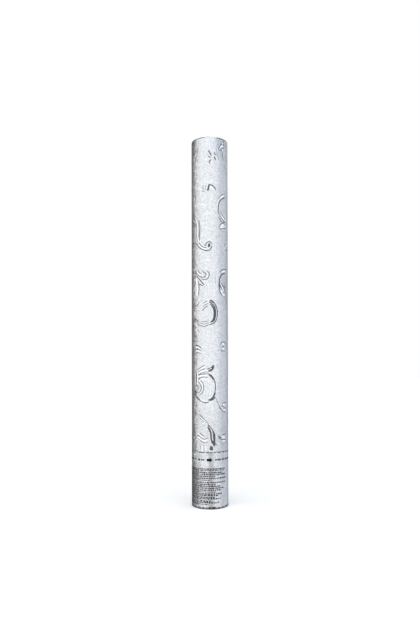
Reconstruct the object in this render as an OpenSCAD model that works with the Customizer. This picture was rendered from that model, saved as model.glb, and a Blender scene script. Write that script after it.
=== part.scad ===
// Twist-fired compressed-air confetti popper, 500 mm long and 50 mm across.
// Millimetres, +Z up, origin at the centre of the flat base. The front faces -Y.
// The barrel is a wrapped paperboard tube. The short grip below the seam turns on it:
// a quarter turn drives the cross pin up two helical slots, lifts the release plug out
// of the head's bore, and the air in the cylinder pushes the wad and the confetti out.

/* [Overall] */
// Height of the whole popper, base lip to muzzle lip
total_h = 500; // [500:10:600]
// Outside diameter over the printed wrap
wrap_d = 50; // [49:0.5:54]
// Height of the seam between the grip and the barrel
seam_z = 75.5; // [74:0.5:77]
// Gap at the seam
seam_gap = 0.5; // [0.3:0.1:0.8]

/* [Tubes and wrap] */
// Wall of the spiral-wound paperboard tubes
tube_wall = 1.75; // [1.5:0.05:1.85]
// Thickness of the metallised paper wrap
wrap_t = 0.15; // [0.1:0.01:0.2]
// Lip of the muzzle plug, above the tube
top_lip = 0.85; // [0.6:0.05:1.2]
// Lip of the base cap, under the tube
base_lip = 1.4; // [1:0.1:1.8]

/* [Air cylinder] */
// Outside radius of the drawn aluminium air cylinder
cyl_r = 17; // [16:0.5:17]
// Wall of the air cylinder
cyl_wall = 0.9; // [0.6:0.1:1.2]
// Radius of the bore that the release plug seals
plug_bore_r = 5; // [4.8:0.1:5.2]

/* [Twist release] */
// Turn of the grip that fires the popper, in degrees
twist_deg = 90; // [60:5:100]
// Lift of the release plug over that turn
lift = 10; // [9:0.5:10]
// Radius of the steel cross pin
pin_r = 1.5; // [1.2:0.1:1.6]

/* [Confetti] */
// Diameter of one foil disc
disc_d = 25; // [20:1:26]
// Thickness of one disc
disc_t = 0.3; // [0.2:0.05:0.5]
// Spacing of the discs along the barrel
disc_pitch = 1.7; // [1.5:0.1:1.7]
// Discs in each of the three bundles
disc_n = 50; // [20:1:50]

/* [Hidden] */
$fn = 96;

r_wrap = wrap_d / 2;
r_tube = r_wrap - wrap_t;               // the wrap is pasted straight on the tube
rim_r = 0.4;                            // rounding of the muzzle rim
bore_r = r_tube - tube_wall;
glue_r = bore_r - 0.05;                 // mouldings glued into the tubes
journal_r = glue_r - 1.95;              // the grip's journal in the pivot ring
ring_r = journal_r + 0.06;
tube_top = total_h - top_lip - 0.05;
barrel_z0 = seam_z + seam_gap;

// heights of the inner parts, all counted from the base
cap_top = 13.6;
house_z0 = 14;
cyl_z0 = 16.5;
journal_top = 101;
shoulder_z = 152.64;
neck_top = 166;
flange_t = 3;
tower_top = 199;
collar_z0 = 165;
collar_top = 203;
pin_z = 184;
ring_z = 86;
tack_z = 175;
house_tack_z = 30;
neck_r = 12;
neck_in = neck_r - cyl_wall;
tower_r = 9;
flange_r = 15.5;
collar_in = 16.5;
pin_reach = 20.5;
slot_out = 21.2;
wad_z0 = collar_top + 0.3;
foam_t = 12;
board_t = 1.5;
confetti_z0 = wad_z0 + foam_t + board_t + 2.6;
disc_off = bore_r - disc_d / 2 - 2.2;

// points of an arc in the profile plane, r across and z up
function arc(cx, cz, r, a0, a1, n = 8) =
    [for (i = [0:n]) let (a = a0 + (a1 - a0) * i / n) [cx + r * cos(a), cz + r * sin(a)]];

module ring(r_in, r_out, z0, z1) {
    translate([0, 0, z0]) difference() {
        cylinder(r = r_out, h = z1 - z0);
        translate([0, 0, -1]) cylinder(r = r_in, h = z1 - z0 + 2);
    }
}

// a cylinder along the radius at an angle, from r0 to r1
module radial(a, z, r, r0, r1) {
    rotate([0, 0, a]) translate([r0, 0, z]) rotate([0, 90, 0]) cylinder(r = r, h = r1 - r0);
}

// four tacks at 45 degrees: a flat head let into the tube and a shank into the moulding
module tacks(z, depth_r) {
    for (a = [45:90:315]) {
        radial(a, z, 1.8, r_tube - 1.15, r_tube - 0.55);
        radial(a, z, 0.6, depth_r, r_tube - 1.15);
    }
}
module tack_holes(z, depth_r) {
    for (a = [45:90:315]) {
        radial(a, z, 1.8, r_tube - 1.15, r_tube + 2);
        radial(a, z, 0.6, depth_r, r_tube - 1);
    }
}
module shank_holes(z, depth_r) {
    for (a = [45:90:315]) radial(a, z, 0.6, depth_r, r_tube);
}

/* ---------- barrel ---------- */

// spiral-wound paperboard tube, the muzzle rim slightly rounded
module barrel_tube() {
    color("BurlyWood") difference() {
        rotate_extrude() polygon(concat(
            [[bore_r, barrel_z0], [r_tube, barrel_z0]],
            arc(r_tube - rim_r, tube_top - rim_r, rim_r, 0, 90, 4),
            arc(bore_r + rim_r, tube_top - rim_r, rim_r, 90, 180, 4)));
        tack_holes(ring_z, r_tube - 4);
        tack_holes(tack_z, r_tube - 4);
    }
}

// printed metallised paper round the barrel, pasted on
module barrel_wrap() {
    color("Silver") rotate_extrude() polygon(concat(
        [[r_wrap - wrap_t, barrel_z0], [r_wrap, barrel_z0]],
        arc(r_tube - rim_r, tube_top - rim_r, rim_r + wrap_t, 0, 50, 4),
        arc(r_tube - rim_r, tube_top - rim_r, rim_r, 50, 0, 4)));
}

// paperboard sleeve that stiffens the barrel and spaces the collar above the ring
module spacer_sleeve() {
    color("Tan") ring(glue_r - 1.6, glue_r, journal_top + 0.6, collar_z0 - 0.1);
}

// moulded ring in the barrel's foot: runs on the grip's journal and snaps into its groove
module pivot_ring() {
    color("WhiteSmoke") difference() {
        rotate_extrude() polygon([
            [ring_r, seam_z + 0.1], [glue_r, seam_z + 0.1], [glue_r, journal_top + 0.3],
            [ring_r + 0.5, journal_top + 0.3], [ring_r, journal_top - 0.4],
            [ring_r, 95.4], [ring_r - 0.55, 94.6], [ring_r - 0.55, 93.4], [ring_r, 92.6]]);
        shank_holes(ring_z, ring_r + 0.5);
    }
}
module pivot_tacks() { color("LightSlateGray") tacks(ring_z, ring_r + 0.5); }

// helical slot for one end of the cross pin, as one swept box
slot_n = 34;
slot_a0 = -6.6;
slot_a1 = twist_deg + 6.6;
slot_h = pin_r + 0.36;
function slot_z(a) = pin_z + lift * min(max(a, 0), twist_deg) / twist_deg;
function slot_a(i) = slot_a0 + (slot_a1 - slot_a0) * i / slot_n;
function slot_points() = [for (i = [0:slot_n]) let (a = slot_a(i), z = slot_z(a))
    each [for (c = [[15, -slot_h], [slot_out, -slot_h], [slot_out, slot_h], [15, slot_h]])
        [c[0] * cos(a), c[0] * sin(a), z + c[1]]]];
function slot_faces() = concat([[3, 2, 1, 0]],
    [for (i = [0:slot_n - 1], k = [0:3]) let (p = 4 * i + k, q = 4 * i + (k + 1) % 4)
        each [[p + 4, p, q], [q + 4, p + 4, q]]],
    [[4 * slot_n, 4 * slot_n + 1, 4 * slot_n + 2, 4 * slot_n + 3]]);
module cam_slot() { polyhedron(points = slot_points(), faces = slot_faces(), convexity = 6); }

// moulded collar glued and tacked into the barrel: two helical slots, each with a
// straight lead-in from below, and a skirt that runs on the head's flange
module cam_collar() {
    color("WhiteSmoke") difference() {
        union() {
            ring(collar_in, glue_r, collar_z0 + 5, collar_top);
            ring(flange_r + 0.1, glue_r, collar_z0, collar_z0 + 5.1);
        }
        for (a = [0, 180]) rotate([0, 0, a]) {
            cam_slot();
            translate([12, -pin_r - 0.35, collar_z0 - 1])
                cube([slot_out - 12, 2 * pin_r + 0.7, pin_z - collar_z0 + 1]);
        }
        shank_holes(tack_z, glue_r - 3);
        // lightening pockets in the top face
        for (a = [120:30:150]) for (b = [0, 180])
            rotate([0, 0, a + b]) translate([19.7, 0, 188]) cylinder(r = 1.9, h = 20);
    }
}
module collar_tacks() { color("LightSlateGray") tacks(tack_z, glue_r - 3); }

/* ---------- muzzle ---------- */

// push-in muzzle plug: a lip on the rim, a ribbed skirt in the bore, a dished floor
module muzzle_plug() {
    s = bore_r - 0.3;
    z1 = total_h - top_lip;
    color("Gainsboro") union() {
        rotate_extrude() polygon(concat(
            [[0, z1 - 9], [s - 0.8, z1 - 9], [s, z1 - 8.2],
             [s, z1 - 6.6], [s + 0.2, z1 - 6.2], [s, z1 - 5.8],
             [s, z1 - 4.4], [s + 0.2, z1 - 4], [s, z1 - 3.6],
             [s, z1 - 0.6], [s + 0.1, z1], [r_tube - 0.35, z1]],
            arc(r_tube - 0.45, z1 + 0.4, 0.4, -76, 0, 4),
            arc(r_tube - 0.45, total_h - 0.4, 0.4, 0, 90, 4),
            [[s - 1.4, total_h], [s - 1.7, total_h - 0.4], [s - 1.7, z1 - 7.2],
             [s - 2.3, z1 - 7.7], [0, z1 - 7.7]]));
        // radial stiffening ribs and the moulding gate on the dished floor
        for (a = [0:60:300]) rotate([0, 0, a])
            translate([5, -0.5, z1 - 8]) cube([s - 7, 1, 1.4]);
        translate([0, 0, z1 - 8]) ring(4.2, 5.4, 0, 1.4);
        translate([0, 0, z1 - 8]) cylinder(r = 1.2, h = 1.1);
    }
}

/* ---------- payload ---------- */

// one bundle: foil discs lying almost flat, each off to one side and overlapping the
// next, in planes whose tilt drifts slowly up the barrel so that no two of them meet
module bundle(k) {
    for (i = [0:disc_n - 1]) {
        j = i + k * disc_n;
        translate([0, 0, confetti_z0 + j * disc_pitch])
            rotate([4 * sin(j * 11 + 20), 4 * cos(j * 9), 0])
                translate([disc_off * cos(j * 97), disc_off * sin(j * 97), -disc_t / 2])
                    cylinder(r = disc_d / 2, h = disc_t);
    }
}
module confetti_lower() { color("LightSteelBlue") bundle(0); }
module confetti_middle() { color("LightSteelBlue") bundle(1); }
module confetti_upper() { color("LightSteelBlue") bundle(2); }

// the piston: a foam disc with a board disc on it
module wad_foam() {
    color("White") translate([0, 0, wad_z0]) rotate_extrude() polygon([
        [0, 3], [13, 3], [14.5, 0], [bore_r - 1.1, 0], [bore_r - 0.3, 0.8],
        [bore_r - 0.3, foam_t - 0.3], [bore_r - 0.6, foam_t], [0, foam_t]]);
}
module wad_board() {
    color("Peru") translate([0, 0, wad_z0 + foam_t]) cylinder(r = bore_r - 0.4, h = board_t);
}

/* ---------- grip ---------- */

module grip_tube() {
    color("BurlyWood") difference() {
        ring(bore_r, r_tube, base_lip, seam_z);
        tack_holes(house_tack_z, r_tube - 4);
    }
}
module grip_wrap() { color("Silver") ring(r_wrap - wrap_t, r_wrap, base_lip, seam_z); }

// moulding glued into the grip tube: floor and socket for the cylinder, ribs, shoulder,
// and the slotted journal that the barrel's pivot ring runs on
module base_housing() {
    w = glue_r - 1.75;
    color("WhiteSmoke") difference() {
        union() {
            rotate_extrude() polygon([
                [8, house_z0], [glue_r, house_z0], [glue_r, seam_z],
                [journal_r, seam_z], [journal_r, 91.8], [journal_r - 0.8, 92.4],
                [journal_r - 0.8, 95.6], [journal_r, 96.2], [journal_r, journal_top - 0.8],
                [journal_r - 0.8, journal_top], [cyl_r + 0.05, journal_top],
                [cyl_r + 0.05, journal_top - 4], [journal_r - 2, journal_top - 8],
                [journal_r - 2, seam_z - 4], [w, seam_z - 7], [w, house_z0 + 2.5],
                [8, house_z0 + 2.5]]);
            ring(cyl_r + 0.05, cyl_r + 1.6, house_z0 + 2, 42);
            for (a = [0:60:300]) rotate([0, 0, a])
                translate([cyl_r + 1.4, -0.8, house_z0 + 2]) cube([w - cyl_r - 1.2, 1.6, 44]);
        }
        // snap fingers: four slots down through the journal
        for (a = [0:45:135]) rotate([0, 0, a])
            translate([-30, -1.2, 80]) cube([60, 2.4, 30]);
        shank_holes(house_tack_z, w - 1);
    }
}
module housing_tacks() { color("LightSlateGray") tacks(house_tack_z, glue_r - 1.5); }

// base cap: the flat foot, a lip under the tube, a skirt glued inside it,
// and a boss round the port that the cylinder is charged through
module base_cap() {
    color("DimGray") union() {
        rotate_extrude() polygon(concat(
            [[6, 1.6], [16.4, 1.6], [17.6, 0]],
            arc(r_wrap - 0.7, 0.5, 0.5, -90, 0, 4),
            [[r_wrap - 0.2, base_lip - 0.05], [glue_r, base_lip - 0.05], [glue_r, cap_top - 0.6],
             [glue_r - 0.6, cap_top], [glue_r - 1.6, cap_top], [glue_r - 1.6, 4.4],
             [glue_r - 2.4, 3.6], [7.5, 3.6], [7.5, 7], [6, 7]]));
        for (a = [30:60:330]) rotate([0, 0, a])
            translate([7.2, -0.6, 3]) cube([glue_r - 9.2, 1.2, 3]);
    }
}

// drawn aluminium cylinder: rounded base with a hole for the valve, shoulder, rolled neck
module air_cylinder() {
    t = cyl_wall;
    rs = (cyl_r - neck_r - 1.05) / (1 - cos(70));
    zs = shoulder_z - rs * sin(70);
    color("LightGray") rotate_extrude() polygon(concat(
        [[4.05, cyl_z0]],
        arc(cyl_r - 6, cyl_z0 + 6, 6, -90, 0, 8),
        arc(cyl_r - rs, zs, rs, 0, 70, 7),
        arc(neck_r + 1, shoulder_z + 1.08, 1, 250, 180, 6),
        [[neck_r, neck_top - 0.4], [neck_r - 0.3, neck_top], [neck_in, neck_top],
         [neck_in, 162.2], [neck_in - 0.7, 161.7], [neck_in - 0.7, 160.7], [neck_in, 160.2]],
        arc(neck_r + 1, shoulder_z + 1.08, 1 + t, 180, 250, 6),
        arc(cyl_r - rs, zs, rs - t, 70, 0, 7),
        arc(cyl_r - 6, cyl_z0 + 6, 6 - t, 0, -90, 8),
        [[4.05, cyl_z0 + t]]));
}

// brass head rolled into the neck: sealed spigot, running flange, and a slotted tower
// with four gas ports just above the flange
module release_head() {
    color("Goldenrod") difference() {
        rotate_extrude() polygon([
            [plug_bore_r + 0.6, 150], [neck_in - 0.75, 150], [neck_in - 0.05, 150.8],
            [neck_in - 0.05, 155], [neck_in - 1.5, 155], [neck_in - 1.5, 157.6],
            [neck_in - 0.05, 157.6], [neck_in - 0.05, 160], [neck_in - 0.9, 160.6],
            [neck_in - 0.9, 161.8], [neck_in - 0.05, 162.4], [neck_in - 0.05, neck_top],
            [flange_r, neck_top], [flange_r, neck_top + flange_t - 0.4],
            [flange_r - 0.4, neck_top + flange_t], [tower_r + 1, neck_top + flange_t],
            [tower_r, neck_top + flange_t + 1], [tower_r, tower_top - 0.6],
            [tower_r - 0.6, tower_top], [plug_bore_r + 0.6, tower_top],
            [plug_bore_r, tower_top - 0.6], [plug_bore_r, 150.6]]);
        // slots for the cross pin
        translate([-12, -pin_r - 0.1, pin_z - pin_r - 0.2])
            cube([24, 2 * pin_r + 0.2, lift + 2 * pin_r + 0.4]);
        // gas ports
        for (a = [45:90:315]) radial(a, 172, 1.4, 2, 14);
    }
}

module o_ring(major, minor, z) {
    translate([0, 0, z]) rotate_extrude() translate([major, 0]) circle(r = minor, $fn = 32);
}
module head_seal() { color("Black") o_ring(neck_in - 0.75, 0.73, 156.3); }

// the plug: two sealed lands, a stem through the tower, and the cross hole
module release_plug() {
    p = plug_bore_r - 0.05;
    color("OrangeRed") difference() {
        rotate_extrude() polygon([
            [0, 158], [p - 1, 158], [p, 159.5], [p, 163], [p - 1.45, 163], [p - 1.45, 165],
            [p, 165], [p, 166], [p - 1.45, 166], [p - 1.45, 168], [p, 168], [p, 189.4],
            [p - 0.6, 190], [0, 190]]);
        translate([-10, 0, pin_z]) rotate([0, 90, 0]) cylinder(r = pin_r, h = 20);
    }
}
module plug_seals() {
    color("Black") for (z = [164, 167]) o_ring(plug_bore_r - 0.76, 0.73, z);
}

// steel cross pin: through the plug and the tower, its ends in the collar's slots
module cross_pin() {
    color("SlateGray") translate([0, 0, pin_z]) rotate([0, 90, 0]) rotate_extrude()
        polygon([[0, -pin_reach], [pin_r - 0.3, -pin_reach], [pin_r, 0.3 - pin_reach],
                 [pin_r, pin_reach - 0.3], [pin_r - 0.3, pin_reach], [0, pin_reach]]);
}

/* ---------- fill valve ---------- */

ball_r = 2.4;
ball_z = 23.83;
// brass body: nipple through the cylinder's base, flange inside, conical ball seat
module fill_valve_body() {
    color("Goldenrod") rotate_extrude() polygon([
        [1.6, 8], [3.6, 8], [4, 8.5], [4, cyl_z0 + cyl_wall + 1.2], [7, cyl_z0 + cyl_wall + 1.2],
        [7, 20.6], [4.8, 20.9], [4.8, 32], [3.3, 32], [3.3, 23.7], [1.3, 21.7],
        [1.3, 20.8], [1.6, 20.5]]);
}
module fill_valve_nut() {
    color("Goldenrod") difference() {
        translate([0, 0, 12.4]) cylinder(r = 6.9, h = cyl_z0 - 12.45, $fn = 6);
        cylinder(r = 4.02, h = 30);
    }
}
module fill_valve_washer() {
    color("Black") ring(4.05, 7, cyl_z0 + cyl_wall, cyl_z0 + cyl_wall + 1.15);
}
module fill_valve_ball() { color("Silver") translate([0, 0, ball_z]) sphere(r = ball_r); }
module fill_valve_retainer() { color("Goldenrod") ring(1.2, 3.28, 30.4, 31.9); }

// closing spring: 5 turns of wire on the ball, as one swept tube
spring_n = 90;
spring_k = 8;
function coil(i) = let (a = 360 * 5 * i / spring_n)
    [1.9 * cos(a), 1.9 * sin(a), 25.78 + 4.2 * i / spring_n];
function coil_points() = [for (i = [0:spring_n]) let (a = 360 * 5 * i / spring_n, c = coil(i))
    each [for (k = [0:spring_k - 1]) let (b = 360 * k / spring_k)
        [c[0] + 0.25 * cos(b) * cos(a), c[1] + 0.25 * cos(b) * sin(a), c[2] + 0.25 * sin(b)]]];
function coil_faces() = concat(
    [[for (k = [spring_k - 1:-1:0]) k]],
    [for (i = [0:spring_n - 1], k = [0:spring_k - 1])
        let (p = spring_k * i + k, q = spring_k * i + (k + 1) % spring_k)
        each [[p + spring_k, p, q], [q + spring_k, p + spring_k, q]]],
    [[for (k = [0:spring_k - 1]) spring_k * spring_n + k]]);
module fill_valve_spring() {
    color("SlateGray") polyhedron(points = coil_points(), faces = coil_faces(), convexity = 10);
}

barrel_tube();
barrel_wrap();
spacer_sleeve();
pivot_ring();
pivot_tacks();
cam_collar();
collar_tacks();
muzzle_plug();
confetti_upper();
confetti_middle();
confetti_lower();
wad_board();
wad_foam();
grip_tube();
grip_wrap();
base_housing();
housing_tacks();
base_cap();
air_cylinder();
release_head();
head_seal();
release_plug();
plug_seals();
cross_pin();
fill_valve_body();
fill_valve_nut();
fill_valve_washer();
fill_valve_ball();
fill_valve_spring();
fill_valve_retainer();
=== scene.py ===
import bpy
import math
from mathutils import Matrix, Vector, noise


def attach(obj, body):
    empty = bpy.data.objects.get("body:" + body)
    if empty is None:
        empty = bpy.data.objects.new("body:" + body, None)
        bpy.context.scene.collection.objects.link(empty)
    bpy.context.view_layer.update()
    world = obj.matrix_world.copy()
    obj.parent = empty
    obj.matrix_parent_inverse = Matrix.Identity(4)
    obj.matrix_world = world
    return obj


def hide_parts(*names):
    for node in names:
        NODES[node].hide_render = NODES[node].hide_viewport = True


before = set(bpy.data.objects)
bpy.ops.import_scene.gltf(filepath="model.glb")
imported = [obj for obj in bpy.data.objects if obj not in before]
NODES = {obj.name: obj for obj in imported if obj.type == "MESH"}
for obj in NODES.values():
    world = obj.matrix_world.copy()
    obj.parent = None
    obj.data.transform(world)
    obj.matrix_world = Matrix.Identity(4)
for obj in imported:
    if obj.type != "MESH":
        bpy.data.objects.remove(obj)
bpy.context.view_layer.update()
scene = bpy.context.scene

MM = 0.001
R = 25.0                      # outside radius of the wrap, mm
CIRC = 2 * math.pi * R
SEAM_LO, SEAM_HI = 75.5, 76.0  # the gap between grip and barrel
TUBE_TOP = 499.1


# ---------------------------------------------------------------- materials
class Mat:
    """A small wrapper round a node tree with one Principled shader."""

    def __init__(self, name, **inputs):
        self.m = bpy.data.materials.new(name)
        self.m.use_nodes = True
        self.nt = self.m.node_tree
        self.nt.nodes.clear()
        self.out = self.nt.nodes.new("ShaderNodeOutputMaterial")
        self.b = self.nt.nodes.new("ShaderNodeBsdfPrincipled")
        self.link(self.b.outputs["BSDF"], self.out.inputs["Surface"])
        self.tc = self.nt.nodes.new("ShaderNodeTexCoord")
        for k, v in inputs.items():
            self.b.inputs[k.replace("_", " ")].default_value = v

    def link(self, a, b):
        self.nt.links.new(a, b)

    def node(self, kind, **props):
        n = self.nt.nodes.new(kind)
        for k, v in props.items():
            setattr(n, k, v)
        return n

    def coords(self, scale=(1, 1, 1), rot=(0, 0, 0), loc=(0, 0, 0)):
        n = self.node("ShaderNodeMapping")
        n.inputs["Scale"].default_value = scale
        n.inputs["Rotation"].default_value = rot
        n.inputs["Location"].default_value = loc
        self.link(self.tc.outputs["Object"], n.inputs["Vector"])
        return n.outputs["Vector"]

    def noise(self, size_mm, detail=3.0, rough=0.55, stretch=(1, 1, 1), distort=0.0, loc=(0, 0, 0)):
        n = self.node("ShaderNodeTexNoise")
        n.inputs["Scale"].default_value = 1.0
        n.inputs["Detail"].default_value = detail
        n.inputs["Roughness"].default_value = rough
        n.inputs["Distortion"].default_value = distort
        k = 1000.0 / size_mm
        self.link(self.coords((k * stretch[0], k * stretch[1], k * stretch[2]), loc=loc), n.inputs["Vector"])
        return n

    def voronoi(self, size_mm, feature="F1", stretch=(1, 1, 1), randomness=1.0, warp=None):
        n = self.node("ShaderNodeTexVoronoi", feature=feature)
        n.inputs["Scale"].default_value = 1.0
        n.inputs["Randomness"].default_value = randomness
        k = 1000.0 / size_mm
        vec = self.coords((k * stretch[0], k * stretch[1], k * stretch[2]))
        if warp:                  # (size_mm, amount in cells): ragged instead of straight cell edges
            sub = self.node("ShaderNodeVectorMath", operation="SUBTRACT")
            sub.inputs[1].default_value = (0.5, 0.5, 0.5)
            self.link(self.noise(warp[0], 2.0, 0.6).outputs["Color"], sub.inputs[0])
            add = self.node("ShaderNodeVectorMath", operation="MULTIPLY_ADD")
            add.inputs[1].default_value = (warp[1],) * 3
            self.link(sub.outputs[0], add.inputs[0])
            self.link(vec, add.inputs[2])
            vec = add.outputs[0]
        self.link(vec, n.inputs["Vector"])
        return n

    def ramp(self, fac, stops, interp="LINEAR"):
        n = self.node("ShaderNodeValToRGB")
        cr = n.color_ramp
        cr.interpolation = interp
        while len(cr.elements) > 1:
            cr.elements.remove(cr.elements[-1])
        cr.elements[0].position = stops[0][0]
        cr.elements[0].color = rgba(stops[0][1])
        for p, c in stops[1:]:
            e = cr.elements.new(p)
            e.color = rgba(c)
        self.link(fac, n.inputs["Fac"])
        return n.outputs["Color"]

    def remap(self, fac, lo, hi, a=0.0, b=1.0):
        n = self.node("ShaderNodeMapRange")
        for k, v in (("From Min", a), ("From Max", b), ("To Min", lo), ("To Max", hi)):
            n.inputs[k].default_value = v
        self.link(fac, n.inputs["Value"])
        return n.outputs["Result"]

    def mul(self, a, b):
        n = self.node("ShaderNodeMix", data_type="RGBA", blend_type="MULTIPLY")
        n.inputs["Factor"].default_value = 1.0
        for s, x in ((6, a), (7, b)):
            if isinstance(x, tuple):
                n.inputs[s].default_value = rgba(x)
            else:
                self.link(x, n.inputs[s])
        return n.outputs[2]

    def mix(self, fac, a, b):
        n = self.node("ShaderNodeMix", data_type="RGBA")
        self.link(fac, n.inputs["Factor"])
        for s, x in ((6, a), (7, b)):
            if isinstance(x, tuple):
                n.inputs[s].default_value = rgba(x)
            else:
                self.link(x, n.inputs[s])
        return n.outputs[2]

    def bump(self, height, dist_mm, strength=1.0, normal=None):
        n = self.node("ShaderNodeBump")
        n.inputs["Strength"].default_value = strength
        n.inputs["Distance"].default_value = dist_mm * MM
        self.link(height, n.inputs["Height"])
        if normal is not None:
            self.link(normal, n.inputs["Normal"])
        return n.outputs["Normal"]

    def color(self, sock):
        self.link(sock, self.b.inputs["Base Color"])

    def rough(self, sock):
        self.link(sock, self.b.inputs["Roughness"])

    def normal(self, sock):
        self.link(sock, self.b.inputs["Normal"])


def rgba(c):
    return (c[0], c[1], c[2], 1.0) if len(c) == 3 else tuple(c)


def cell_normal(mt, cells):
    """Tilts the surface normal by a random amount in each cell, as in glittered paper. cells: (colour, amount) pairs."""
    geo = mt.node("ShaderNodeNewGeometry")
    last = geo.outputs["Normal"]
    for cell_color, amount in cells:
        sub = mt.node("ShaderNodeVectorMath", operation="SUBTRACT")
        sub.inputs[1].default_value = (0.5, 0.5, 0.5)
        mt.link(cell_color, sub.inputs[0])
        sc = mt.node("ShaderNodeVectorMath", operation="SCALE")
        sc.inputs["Scale"].default_value = amount
        mt.link(sub.outputs[0], sc.inputs[0])
        add = mt.node("ShaderNodeVectorMath", operation="ADD")
        mt.link(last, add.inputs[0])
        mt.link(sc.outputs[0], add.inputs[1])
        last = add.outputs[0]
    nn = mt.node("ShaderNodeVectorMath", operation="NORMALIZE")
    mt.link(last, nn.inputs[0])
    return nn.outputs[0]


def make_wrap_paper():
    mt = Mat("wrap_metallised_paper", Metallic=1.0, Roughness=0.5, Anisotropic=0.8, Anisotropic_Rotation=0.25)
    big = mt.voronoi(1.75, warp=(0.7, 1.0))
    small = mt.voronoi(0.9, warp=(0.4, 1.0))
    tone_and_painted_light = mt.node("ShaderNodeAttribute", attribute_name="tone_and_painted_light")
    cloud = mt.noise(9.0, 3.0, 0.6)
    c = mt.ramp(small.outputs["Color"], [(0.15, (0.66, 0.665, 0.675)), (0.5, (0.91, 0.913, 0.92)), (0.85, (1.0, 1.0, 1.0))])
    c = mt.mul(c, mt.ramp(big.outputs["Color"], [(0.2, (0.83, 0.833, 0.84)), (0.8, (1.0, 1.0, 1.0))]))
    c = mt.mul(c, mt.ramp(cloud.outputs["Fac"], [(0.3, (0.965, 0.967, 0.97)), (0.7, (1.0, 1.0, 1.0))]))
    # multiplies in the per-point colour factor, which holds painted shade and a painted reflection
    c = mt.mul(c, tone_and_painted_light.outputs["Color"])
    mt.color(c)
    mt.rough(mt.remap(small.outputs["Color"], 0.42, 0.6))
    n = cell_normal(mt, ((small.outputs["Color"], 0.42), (big.outputs["Color"], 0.34)))
    mt.normal(mt.bump(small.outputs["Distance"], 0.03, 0.4, n))
    return mt.m


def make_foil_ink():
    mt = Mat("hot_stamped_mirror_foil", Metallic=1.0, Roughness=0.13)
    fine = mt.noise(1.2, 2.0, 0.5)
    mt.color(mt.ramp(fine.outputs["Fac"], [(0.3, (0.90, 0.905, 0.93)), (0.7, (0.965, 0.965, 0.98))]))
    mt.rough(mt.remap(fine.outputs["Fac"], 0.09, 0.2))
    mt.normal(mt.bump(mt.noise(2.6, 1.0, 0.4).outputs["Fac"], 0.05, 0.6))
    return mt.m


def make_keyline_ink():
    """Dark grey foil of the keylines, also used for lines of painted shade along the muzzle's rim: it mirrors softly,
    so it is black in front and lighter towards the sides.
    """
    mt = Mat("dark_keyline_foil_and_painted_rim_shade", Metallic=0.9, Roughness=0.3)
    fine = mt.noise(0.6, 3.0, 0.6)
    worn = mt.noise(2.2, 4.0, 0.65)
    c = mt.ramp(fine.outputs["Fac"], [(0.3, (0.075, 0.076, 0.082)), (0.7, (0.125, 0.127, 0.135))])
    mt.color(mt.mix(mt.ramp(worn.outputs["Fac"], [(0.62, (0.0,) * 3), (0.72, (1.0,) * 3)]), c, (0.30, 0.30, 0.315)))
    mt.rough(mt.remap(fine.outputs["Fac"], 0.22, 0.42))
    n = mt.bump(fine.outputs["Fac"], 0.02, 0.5)
    mt.normal(mt.bump(worn.outputs["Fac"], 0.05, 0.5, n))
    return mt.m


def make_black_ink(name, a, b):
    mt = Mat(name, Roughness=0.5, Specular_IOR_Level=0.1)
    fine = mt.noise(0.35, 3.0, 0.65)
    mt.color(mt.ramp(fine.outputs["Fac"], [(0.3, a), (0.7, b)]))
    mt.rough(mt.remap(fine.outputs["Fac"], 0.35, 0.6))
    mt.normal(mt.bump(fine.outputs["Fac"], 0.015, 0.5))
    return mt.m


def make_board(name, base, dark, spiral=True):
    mt = Mat(name, Roughness=0.9)
    fib = mt.noise(0.5, 4.0, 0.7, (1, 1, 4.0))
    big = mt.noise(14.0, 2.0, 0.5)
    c = mt.ramp(fib.outputs["Fac"], [(0.28, dark), (0.62, base)])
    c = mt.mul(c, mt.ramp(big.outputs["Fac"], [(0.3, (0.9, 0.9, 0.9)), (0.7, (1.0, 1.0, 1.0))]))
    height = fib.outputs["Fac"]
    n = mt.bump(height, 0.12, 0.5)
    if spiral:
        # the joints of the wound strips: a helix round the tube's axis
        sep = mt.node("ShaderNodeSeparateXYZ")
        mt.link(mt.coords((1, 1, 1)), sep.inputs[0])
        at = mt.node("ShaderNodeMath", operation="ARCTAN2")
        mt.link(sep.outputs["Y"], at.inputs[0])
        mt.link(sep.outputs["X"], at.inputs[1])
        turn = mt.node("ShaderNodeMath", operation="DIVIDE")
        mt.link(at.outputs[0], turn.inputs[0])
        turn.inputs[1].default_value = 2 * math.pi
        zz = mt.node("ShaderNodeMath", operation="MULTIPLY")
        mt.link(sep.outputs["Z"], zz.inputs[0])
        zz.inputs[1].default_value = 1000.0 / 76.0
        add = mt.node("ShaderNodeMath", operation="ADD")
        mt.link(zz.outputs[0], add.inputs[0])
        mt.link(turn.outputs[0], add.inputs[1])
        fr = mt.node("ShaderNodeMath", operation="FRACT")
        mt.link(add.outputs[0], fr.inputs[0])
        line = mt.ramp(fr.outputs[0], [(0.0, (0.0,) * 3), (0.006, (1.0,) * 3), (0.994, (1.0,) * 3), (1.0, (0.0,) * 3)])
        c = mt.mul(c, mt.ramp(line, [(0.0, (0.62, 0.6, 0.58)), (0.6, (1.0, 1.0, 1.0))]))
        n = mt.bump(line, 0.25, 0.8, n)
    mt.color(c)
    mt.rough(mt.remap(fib.outputs["Fac"], 0.82, 0.97))
    mt.normal(n)
    return mt.m


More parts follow.
